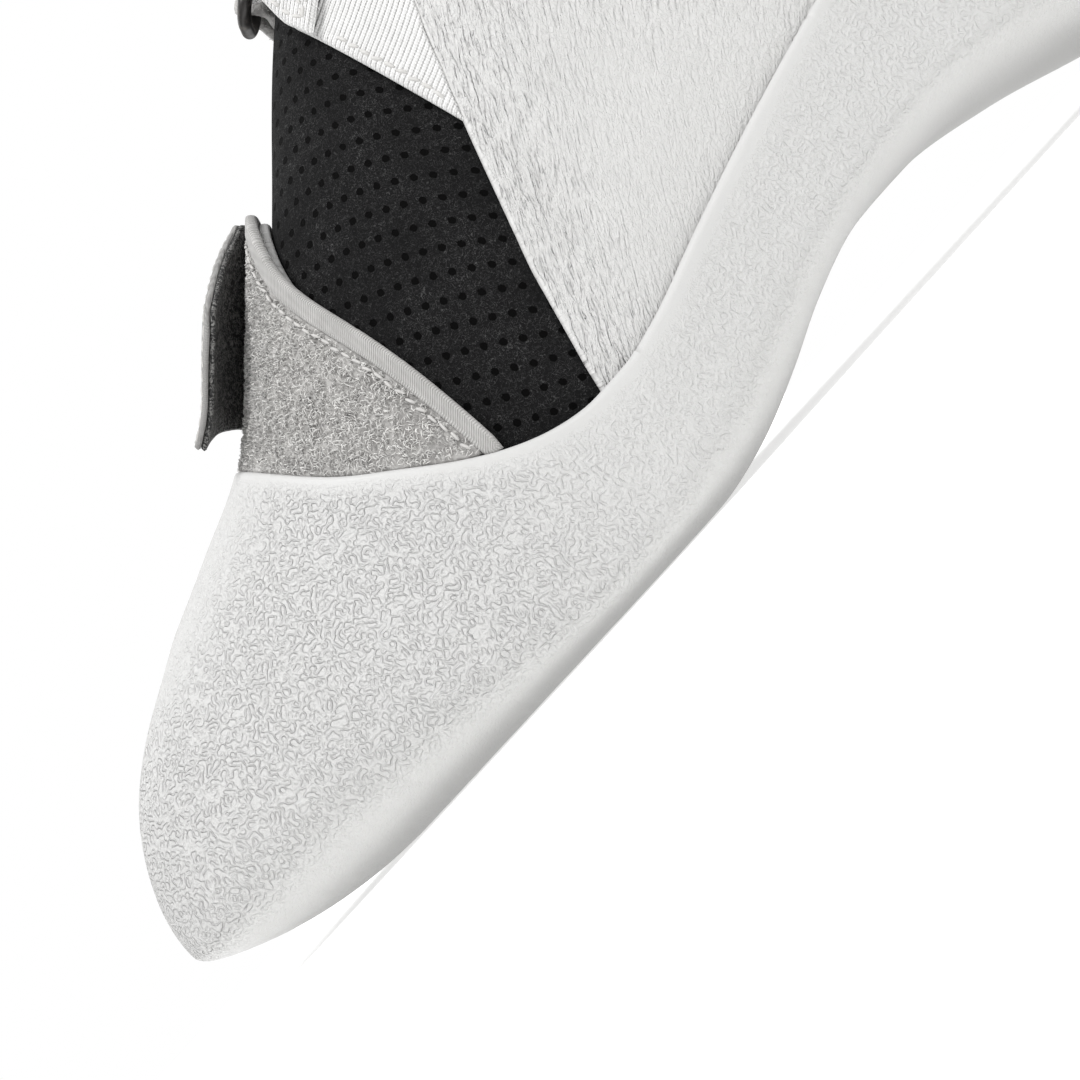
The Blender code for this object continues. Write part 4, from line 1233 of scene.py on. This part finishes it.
# Station and walk of the cut end, and station and lift of that end off the patch
LOW_STRAP_TIP = ((57, -7.4), (66, -7.8), (70, -8.2), (70.6, -8.0), (79, 3.0))
LOW_STRAP_LIFT = ((57, 4.8), (62, 4.2), (70, 4.4), (76, 3.2), (79, 2.4))
# Depth of the strap's middle where it is sewn, and over the patch, and the lean of its open end
LOW_STRAP_SEWN, LOW_STRAP_OPEN, LOW_STRAP_LEAN = 0.9, -1.35, 3.0
FACE_CLOTH, HOOK_CLOTH, LAYER_EDGE = 0.86, 0.8, 0.4


def low_strap_grid(over):
    """Middle points of one layer of the lower strap, raised by over from the strap's own middle."""
    rows = []
    for station in edge_rows(*LOW_STRAP_EDGES, LOW_STRAP_ROWS):
        start = free_edge_walk(1, station, 0.0, RUBBER_EDGE, 1.6)
        tip, lift = curve(LOW_STRAP_TIP, 1, station), curve(LOW_STRAP_LIFT, 1, station)
        walk = start + (tip - start) * edge_rows(0, 1, LOW_STRAP_STEPS)
        # It climbs onto the patch between walks 15 and 4, and bends off it from walk 7 on
        rise = soft_step(15 - walk, 0, 11)
        bend = np.clip((7 - walk) / 14, 0, 1) ** 1.4
        depth = LOW_STRAP_SEWN + (LOW_STRAP_OPEN - LOW_STRAP_SEWN) * rise - lift * bend - over
        rows.append(skin(station - LOW_STRAP_LEAN * bend, walk, depth))
    return np.array(rows)


face_grid, hook_grid = low_strap_grid(0.42), low_strap_grid(-0.48)
points, faces, _, laid, face_out = ribbon(face_grid, FACE_CLOTH, LAYER_EDGE)
make_piece(
    "lower_strap_face", points, faces, [STRAP_CLOTH], "lower_strap",
    {"laid": laid})
points, faces, _, laid, _ = ribbon(hook_grid, HOOK_CLOTH, LAYER_EDGE)
make_piece(
    "lower_strap_hooks", points, faces, [HOOK], "lower_strap", {"laid": laid})


# %% [markdown]
# ### The ring and the two upper straps
# A loop of ribbed webbing comes up from the medial quarter and holds one long bar of the ring. The
# closing strap comes from the other side, passes through the ring and folds back on its pile. Both
# run straight near the ring and settle on the foot further down. Each strap is a side view of its
# path, swept across the strap's width.

# %% The ring's own directions
RING_STATION, RING_DEPTH, RING_LENGTH, RING_WIDTH, RING_WIRE = 109.5, 0.5, 28.0, 10.4, 2.0
# Half the distance along the foot over which the ring's tilt is read
RING_REACH = 8
ring_middle = skin(RING_STATION, 0.0, RING_DEPTH)
ring_ahead = skin(RING_STATION - RING_REACH, 0.0, RING_DEPTH) \
    - skin(RING_STATION + RING_REACH, 0.0, RING_DEPTH)
ring_ahead /= np.linalg.norm(ring_ahead)
ring_side = np.array([1.0, 0.0, 0.0])
ring_side -= ring_ahead * ring_side.dot(ring_ahead)
ring_side /= np.linalg.norm(ring_side)
ring_out = np.cross(ring_side, ring_ahead)
print("ring's middle, in millimetres:", ring_middle.round(1))

# %% Upper straps
STRAP_WIDTH, STRAP_SLANT, STRAP_ROWS, STRAP_STEPS = 21.0, 0.17, 26, 150
# Walks between which a strap passes from its straight run to the foot
STRAIGHT_TO, SETTLED_FROM = 6.5, 17.5
# Gap between the wire and the strap round it, and between the two layers of a fold
WIRE_GAP, FOLD_GAP = 0.3, 0.35
# Thickness of the cloth, room it takes in a fold, length of the fold, and how far it runs on
# under the quarter
WEBBING_CLOTH, WEBBING_ROOM, WEBBING_FOLD, WEBBING_SPARE = 1.45, 1.5, 19.0, 0.6
PILE_CLOTH, PILE_ROOM, PILE_FOLD, PILE_SPARE = 1.7, 1.8, 34.0, 0.9
STRAP_EDGE = 0.6


def near_ring(offset, side, walk, depth):
    """Points of a high strap: straight beside the ring, and on the foot away from it."""
    walk, depth = np.asarray(walk, float), np.asarray(depth, float)
    place = offset + STRAP_SLANT * walk
    flat = ring_middle - ring_ahead * place[..., None] + ring_side * (side * walk)[..., None] \
        + ring_out * (RING_DEPTH - depth)[..., None]
    share = soft_step(walk, STRAIGHT_TO, SETTLED_FROM)[..., None]
    return flat * (1 - share) + skin(RING_STATION + place, side * walk, depth) * share


def high_strap_grid(side, room, fold_length, spare):
    """Middle points of a strap from the quarter's edge, round a bar of the ring and back."""
    bar = RING_WIDTH / 2 - RING_WIRE / 2
    radius = RING_WIRE / 2 + WIRE_GAP + room / 2
    under, over = RING_DEPTH + radius, RING_DEPTH + radius - room - FOLD_GAP
    rows = []
    for offset in edge_rows(-STRAP_WIDTH / 2, STRAP_WIDTH / 2, STRAP_ROWS):
        start = free_edge_walk(side, RING_STATION + offset, STRAP_SLANT, UPPER_EDGE, spare)
        # From the quarter to the bar, half a turn round it, and back onto the lower layer
        path = [(start + (bar - start) * s, under) for s in np.linspace(0, 0.93, 9)]
        for turn in np.radians(np.linspace(-90, 90, 7)):
            path.append((bar - radius * math.cos(turn), RING_DEPTH - radius * math.sin(turn)))
        top = RING_DEPTH - radius
        path += [(bar + 2.2, top + 0.3), (bar + 5.0, (top + over) / 2), (bar + 7.8, over - 0.1)]
        fold = min(fold_length, start - bar - 1.5)
        path += [(bar + 7.8 + (fold - 7.8) * s, over) for s in (0.34, 0.67, 1.0)]
        line = through(path, STRAP_STEPS)
        rows.append(near_ring(offset, side, line[:, 0], line[:, 1]))
    return np.array(rows)


webbing_grid = high_strap_grid(-1, WEBBING_ROOM, WEBBING_FOLD, WEBBING_SPARE)
points, faces, _, laid, webbing_out = ribbon(
    webbing_grid, WEBBING_CLOTH, STRAP_EDGE, from_end=True)
make_piece(
    "webbing_ribbon", points, faces, [WEBBING], "webbing_loop", {"laid": laid})
strap_grid = high_strap_grid(1, PILE_ROOM, PILE_FOLD, PILE_SPARE)
points, faces, pick, _, strap_out = ribbon(strap_grid, PILE_CLOTH, STRAP_EDGE)
both = faces[pick < 2]
triangles = np.concatenate([both[:, :3], both[:, [0, 2, 3]]])
make_piled("closing_strap", points, faces, triangles, STRAP_LOOP, "upper_strap")

# %% [markdown]
# ### The ring
# The ring is a rounded rectangle of bent wire. A bevelled curve would make it in two steps. It is
# built from a line with a way out at each point here, so that its mesh is even and closed, and it
# stands on the same directions that the straps use.

# %% Ring
RING_CORNER, CORNER_STEPS, WIRE_SIDES = 3.0, 17, 24


def ring_points():
    """Points and faces of the wire, bent to a rounded rectangle."""
    wire = RING_WIRE / 2
    long, wide, corner = RING_LENGTH / 2 - wire, RING_WIDTH / 2 - wire, RING_CORNER
    line = []
    for sx, sy, start in ((1, 1, 0), (-1, 1, 90), (-1, -1, 180), (1, -1, 270)):
        for turn in np.radians(np.linspace(start, start + 90, CORNER_STEPS)):
            line.append((sx * (wide - corner) + corner * math.cos(turn),
                         sy * (long - corner) + corner * math.sin(turn),
                         math.cos(turn), math.sin(turn)))
    points, sides = [], WIRE_SIDES
    for x, y, nx, ny in line:
        for k in range(sides):
            turn = 2 * math.pi * k / sides
            reach, rise = wire * math.cos(turn), wire * math.sin(turn)
            points.append(ring_middle + ring_side * (x + nx * reach)
                          + ring_ahead * (y + ny * reach) + ring_out * rise)
    count = len(line)
    i, k = np.divmod(np.arange(count * sides), sides)
    j, m = (i + 1) % count, (k + 1) % sides
    faces = np.stack([i * sides + k, i * sides + m, j * sides + m, j * sides + k], axis=1)
    return np.array(points), faces


points, faces = ring_points()
make_piece(
    "closing_ring", points, faces, [WIRE], "strap_ring")


# %% [markdown]
# ## Stitches
# A stitch is a short thread that dives into the cloth at both ends, so each is a stretched bead,
# half sunk. Painted stitches would look flat at an edge. Walking a line at the real pitch and
# dropping a bead at each step gives a seam, and each bead leans a little differently.

# %% Stitches
STITCH_RINGS, STITCH_SIDES = 7, 8
# Share of a thread's radius that is sunk, its lean in radians with the play of it, and the play
# of its place across the seam
STITCH_SINK, STITCH_LEAN, LEAN_PLAY, SIDE_PLAY = 0.35, np.radians(7), np.radians(14), 0.14


def stitch_line(line, outs, pitch, long, radius):
    """Beads along a line of points: points and faces of all of them."""
    gone = np.concatenate([[0], np.cumsum(np.linalg.norm(np.diff(line, axis=0), axis=1))])
    count = max(1, int(gone[-1] // pitch))
    at = (np.arange(count) + 0.5) * gone[-1] / count

    def read(values, places):
        """Values of the line at these lengths."""
        return np.stack([np.interp(places, gone, values[:, i]) for i in range(3)], axis=1)

    centre, out = read(line, at), read(outs, at)
    out /= np.linalg.norm(out, axis=1)[:, None]
    way = read(line, at + 0.3) - read(line, at - 0.3)
    way -= out * np.sum(way * out, axis=1)[:, None]
    way /= np.linalg.norm(way, axis=1)[:, None]
    side = np.cross(out, way)
    rings, sides = STITCH_RINGS, STITCH_SIDES
    points, faces = [], []
    lean = LEAN_PLAY * dice.uniform(-1, 1, count) + STITCH_LEAN
    centre = centre + side * dice.uniform(-SIDE_PLAY, SIDE_PLAY, count)[:, None]
    for i in range(count):
        run = way[i] * math.cos(lean[i]) + side[i] * math.sin(lean[i])
        cross = np.cross(out[i], run)
        base = len(points)
        for r in range(rings):
            t = math.pi * r / (rings - 1)
            girth = radius * max(math.sin(t), 0.0) ** 0.6
            rise = (1 - STITCH_SINK) * (0.25 + 0.75 * math.sin(t)) - 0.55
            spine = centre[i] - run * (long / 2 * math.cos(t)) + out[i] * (radius * rise)
            for k in range(sides):
                turn = 2 * math.pi * k / sides
                points.append(
                    spine + cross * girth * math.cos(turn) + out[i] * girth * math.sin(turn))
        for r in range(rings - 1):
            for k in range(sides):
                a, b = base + r * sides + k, base + r * sides + (k + 1) % sides
                faces.append((b, a, a + sides, b + sides))
    return points, faces


# %% Sewing
def sew(name, lines, finish, pitch, long, radius):
    """One piece with all the stitches of these lines."""
    points, faces = [], []
    for line, outs in lines:
        more_points, more_faces = stitch_line(line, outs, pitch, long, radius)
        faces += [tuple(v + len(points) for v in face) for face in more_faces]
        points += more_points
    make_piece(name, np.array(points), faces, [finish], None)


# %% [markdown]
# ### The seam of the patch
# This seam runs on the patch, at an even distance from the tape. The edge of the tape depends on
# the place across, and that place on the station, so the station is found by trying again a few
# times, each time from the place that the last try gave.

# %% Patch seam
SEAM_SETBACK, SEAM_DEPTH, SEAM_TRIES, SEAM_POINTS = 3.3, 0.25, 20, 110


def patch_seam():
    """The seam just below the binding tape, from the crown down to the rubber."""
    walk = np.linspace(6, -62, SEAM_POINTS)
    station = np.full(SEAM_POINTS, THROAT_STATION - SEAM_SETBACK)
    for _ in range(SEAM_TRIES):
        station = LENGTH / 2 - front_line(on_foot(station, walk)[:, 0]) - SEAM_SETBACK
    spot = on_foot(station, walk)
    keep = spot[:, 2] > edge_height(RUBBER_EDGE, spot[:, 0], spot[:, 1]) + 1.0
    walk, station = walk[keep], station[keep]
    return skin(station, walk, SEAM_DEPTH), way_out(station, walk)


sew("patch_seam", [patch_seam()], GREY_THREAD, 1.95, 1.6, 0.23)

# %% [markdown]
# ### The seams of the straps
# The webbing is sewn down with a box and a cross where it folds back, and a seam runs on beside
# both edges of its lower layer. The shares below are along the ribbon: it starts at the quarter,
# turns round the bar at about half its length, and the fold that shows ends at one.

# %% Lines on a ribbon
LINE_POINTS = 60


def grid_line(grid, outs, stops, over):
    """A line through (row share, length share) stops, on the side of a ribbon that over names."""
    path = np.clip(through(stops, LINE_POINTS), 0, 1)
    row, column = path[:, 0] * (grid.shape[0] - 1), path[:, 1] * (grid.shape[1] - 1)
    out = between(outs, row, column)
    return between(grid, row, column) + out * over, out * math.copysign(1, over)


def share_from_end(grid, distance):
    """Share of a ribbon's length at this distance from its end, along the middle row."""
    gone = np.cumsum(np.linalg.norm(np.diff(grid[len(grid) // 2], axis=0), axis=1))
    return float(np.argmax(gone > gone[-1] - distance) + 1) / len(gone)


# %% Webbing seams
LOW_ROW, HIGH_ROW, WEBBING_FACE = 0.12, 0.88, 0.72
# Distances from the ribbon's end to the box's two ends and to the end of the lower seams
fold_start, fold_end, under_end = (
    share_from_end(webbing_grid, distance) for distance in (14.0, 1.6, 42.0))
box = (
    ((LOW_ROW, fold_start), (LOW_ROW, fold_end)), ((HIGH_ROW, fold_start), (HIGH_ROW, fold_end)),
    ((LOW_ROW, fold_start), (HIGH_ROW, fold_start)), ((LOW_ROW, fold_end), (HIGH_ROW, fold_end)),
    ((LOW_ROW, fold_start), (HIGH_ROW, fold_end)), ((LOW_ROW, fold_end), (HIGH_ROW, fold_start)),
)
seams = [grid_line(webbing_grid, webbing_out, stops, -WEBBING_FACE) for stops in box]
seams += [grid_line(webbing_grid, webbing_out, ((row, 0.03), (row, under_end)), WEBBING_FACE)
          for row in (LOW_ROW, HIGH_ROW)]
sew("webbing_seam", seams, LIGHT_THREAD, 2.1, 1.8, 0.3)

# %% Seams of the closing strap and the lower strap
fold = share_from_end(strap_grid, 30.0)
strap_lines = (
    ((0.1, fold), (0.1, 0.975)), ((0.9, fold), (0.9, 0.975)), ((0.1, 0.975), (0.9, 0.975)),
    ((0.1, fold), (0.9, fold)),
)
low_lines = (
    ((0.08, 0.04), (0.08, 0.97)), ((0.92, 0.04), (0.92, 0.97)), ((0.08, 0.97), (0.92, 0.97)),
)
sew("strap_seam", [grid_line(strap_grid, strap_out, stops, 0.84) for stops in strap_lines],
    GREY_THREAD, 2.0, 1.8, 0.2)
sew("lower_strap_seam", [grid_line(face_grid, face_out, stops, -0.42) for stops in low_lines],
    GREY_THREAD, 2.0, 1.8, 0.18)

# %% [markdown]
# ## Floor
# The shoe stands empty on a plain pale disc. It glows a little, as a lit table does, so that its
# far edge melts into the white backdrop and no line crosses the picture. A backdrop that curves up
# would hide the edge too, but it would be seen from behind when the camera moves.

# %% Floor
FLOOR_RADIUS, FLOOR_SIDES, FLOOR_GLOW = 0.6, 96, 0.45
floor_finish = Finish("pale_floor", (0.86, 0.86, 0.855), 0.6, specular=0.2)
floor_finish.paint(floor_finish.blend(
    floor_finish.noise(3.0, 3.0), (0.85, 0.85, 0.845), (0.875, 0.875, 0.87)))
floor_finish.shader.inputs["Emission Color"].default_value = (1, 1, 1, 1)
floor_finish.shader.inputs["Emission Strength"].default_value = FLOOR_GLOW
floor_mesh = bpy.data.meshes.new("floor")
turns = np.linspace(0, 2 * math.pi, FLOOR_SIDES, endpoint=False)
floor_mesh.from_pydata(
    [(FLOOR_RADIUS * math.cos(t), FLOOR_RADIUS * math.sin(t), 0) for t in turns], [],
    [tuple(range(FLOOR_SIDES))])
floor_mesh.materials.append(floor_finish.material)
floor = bpy.data.objects.new("floor", floor_mesh)
bpy.context.scene.collection.objects.link(floor)
print("floor radius in metres:", FLOOR_RADIUS)

# %% [markdown]
# ## Light
# The studio is a white dome, brighter overhead than at the horizon, which rounds the forms softly.
# The camera sees it as pure white, through a light path switch. One soft box stands high on the
# medial side and skims the grain, and a weak one behind rims the far side.

# %% Dome
# Strength of the dome at the horizon and overhead, and the height at which it is full
DOME_LOW, DOME_HIGH, DOME_FULL = 0.34, 0.84, 0.9
world = bpy.data.worlds.new("studio")
world.use_nodes = True
sky = world.node_tree
height = sky.nodes.new("ShaderNodeSeparateXYZ")
sky.links.new(sky.nodes.new("ShaderNodeTexCoord").outputs["Generated"], height.inputs[0])
dome = sky.nodes.new("ShaderNodeMapRange")
sky.links.new(height.outputs[2], dome.inputs[0])
for socket, value in enumerate((0.0, DOME_FULL, DOME_LOW, DOME_HIGH), start=1):
    dome.inputs[socket].default_value = value
backdrop = sky.nodes.new("ShaderNodeMix")
sky.links.new(sky.nodes.new("ShaderNodeLightPath").outputs["Is Camera Ray"], backdrop.inputs[0])
sky.links.new(dome.outputs[0], backdrop.inputs[2])
backdrop.inputs[3].default_value = 1.0
sky.links.new(backdrop.outputs[0], sky.nodes["Background"].inputs[1])
sky.nodes["Background"].inputs[0].default_value = (1.0, 1.0, 1.0, 1)
bpy.context.scene.world = world

# %% Soft boxes
LIT_POINT = Vector((0, 0, 0.05))
# Name, place and width in metres, power in watts
SOFT_BOXES = (("key", (-0.36, 0.14, 0.72), 0.32, 5.0), ("back", (0.5, 0.5, 0.6), 0.5, 1.2))
for name, place, width, power in SOFT_BOXES:
    light = bpy.data.lights.new(name, "AREA")
    light.shape = "DISK"
    light.size = width
    light.energy = power
    lamp = bpy.data.objects.new(name, light)
    lamp.location = place
    lamp.rotation_mode = "QUATERNION"
    lamp.rotation_quaternion = (LIT_POINT - Vector(place)).to_track_quat("-Z", "Y")
    bpy.context.scene.collection.objects.link(lamp)
    print("soft box:", name, power, "W")

# %% [markdown]
# ## Camera
# The camera has the photograph's roll and crop. The photograph was taken from below the sole, so
# the camera goes as low as the floor lets it. It could be aimed by hand with a Track To constraint,
# but its axes are worked out from the roll here, so that the picture's middle can be moved by
# pixels.

# %% Camera
# Metres: distance from the medial side, width of the picture there, and height over the floor
DISTANCE, FRAME_WIDTH, EYE_HEIGHT = 0.26, 0.137, 0.006
ROLL, SENSOR, PICTURE_PIXELS = math.radians(47.5), 36.0, 1080
# Lowest point of the ball, as place across, station and height in millimetres
BALL_ACROSS, BALL_STATION, BALL_HEIGHT = -43.0, 79.5, 5.5
# How far the picture's middle lies left of and above that point, in pixels
LEFT, ABOVE = 86, 12
ball = (np.array([BALL_ACROSS, LENGTH / 2 - BALL_STATION, BALL_HEIGHT]) - PLAN_MIDDLE) / 1000
heelward, upward = np.array([0.0, -1.0, 0.0]), np.array([0.0, 0.0, 1.0])
image_right = heelward * math.cos(ROLL) - upward * math.sin(ROLL)
image_up = heelward * math.sin(ROLL) + upward * math.cos(ROLL)
per_pixel = FRAME_WIDTH / PICTURE_PIXELS
aim = ball - image_right * LEFT * per_pixel + image_up * ABOVE * per_pixel
place = np.array([aim[0] - DISTANCE, aim[1], EYE_HEIGHT])
view_way = aim - place
view_way /= np.linalg.norm(view_way)
right = image_right - view_way * image_right.dot(view_way)
right /= np.linalg.norm(right)
up = np.cross(right, view_way)
camera_data = bpy.data.cameras.new("camera")
camera_data.sensor_width = SENSOR
camera_data.lens = SENSOR * DISTANCE / FRAME_WIDTH
camera_data.clip_start = 0.01
camera = bpy.data.objects.new("camera", camera_data)
camera.matrix_world = Matrix([
    [right[i], up[i], -view_way[i], place[i]] for i in range(3)] + [[0, 0, 0, 1]])
bpy.context.scene.collection.objects.link(camera)
bpy.context.scene.camera = camera
bpy.context.scene.view_settings.view_transform = "Standard"
print("camera at", [round(float(v), 4) for v in place])
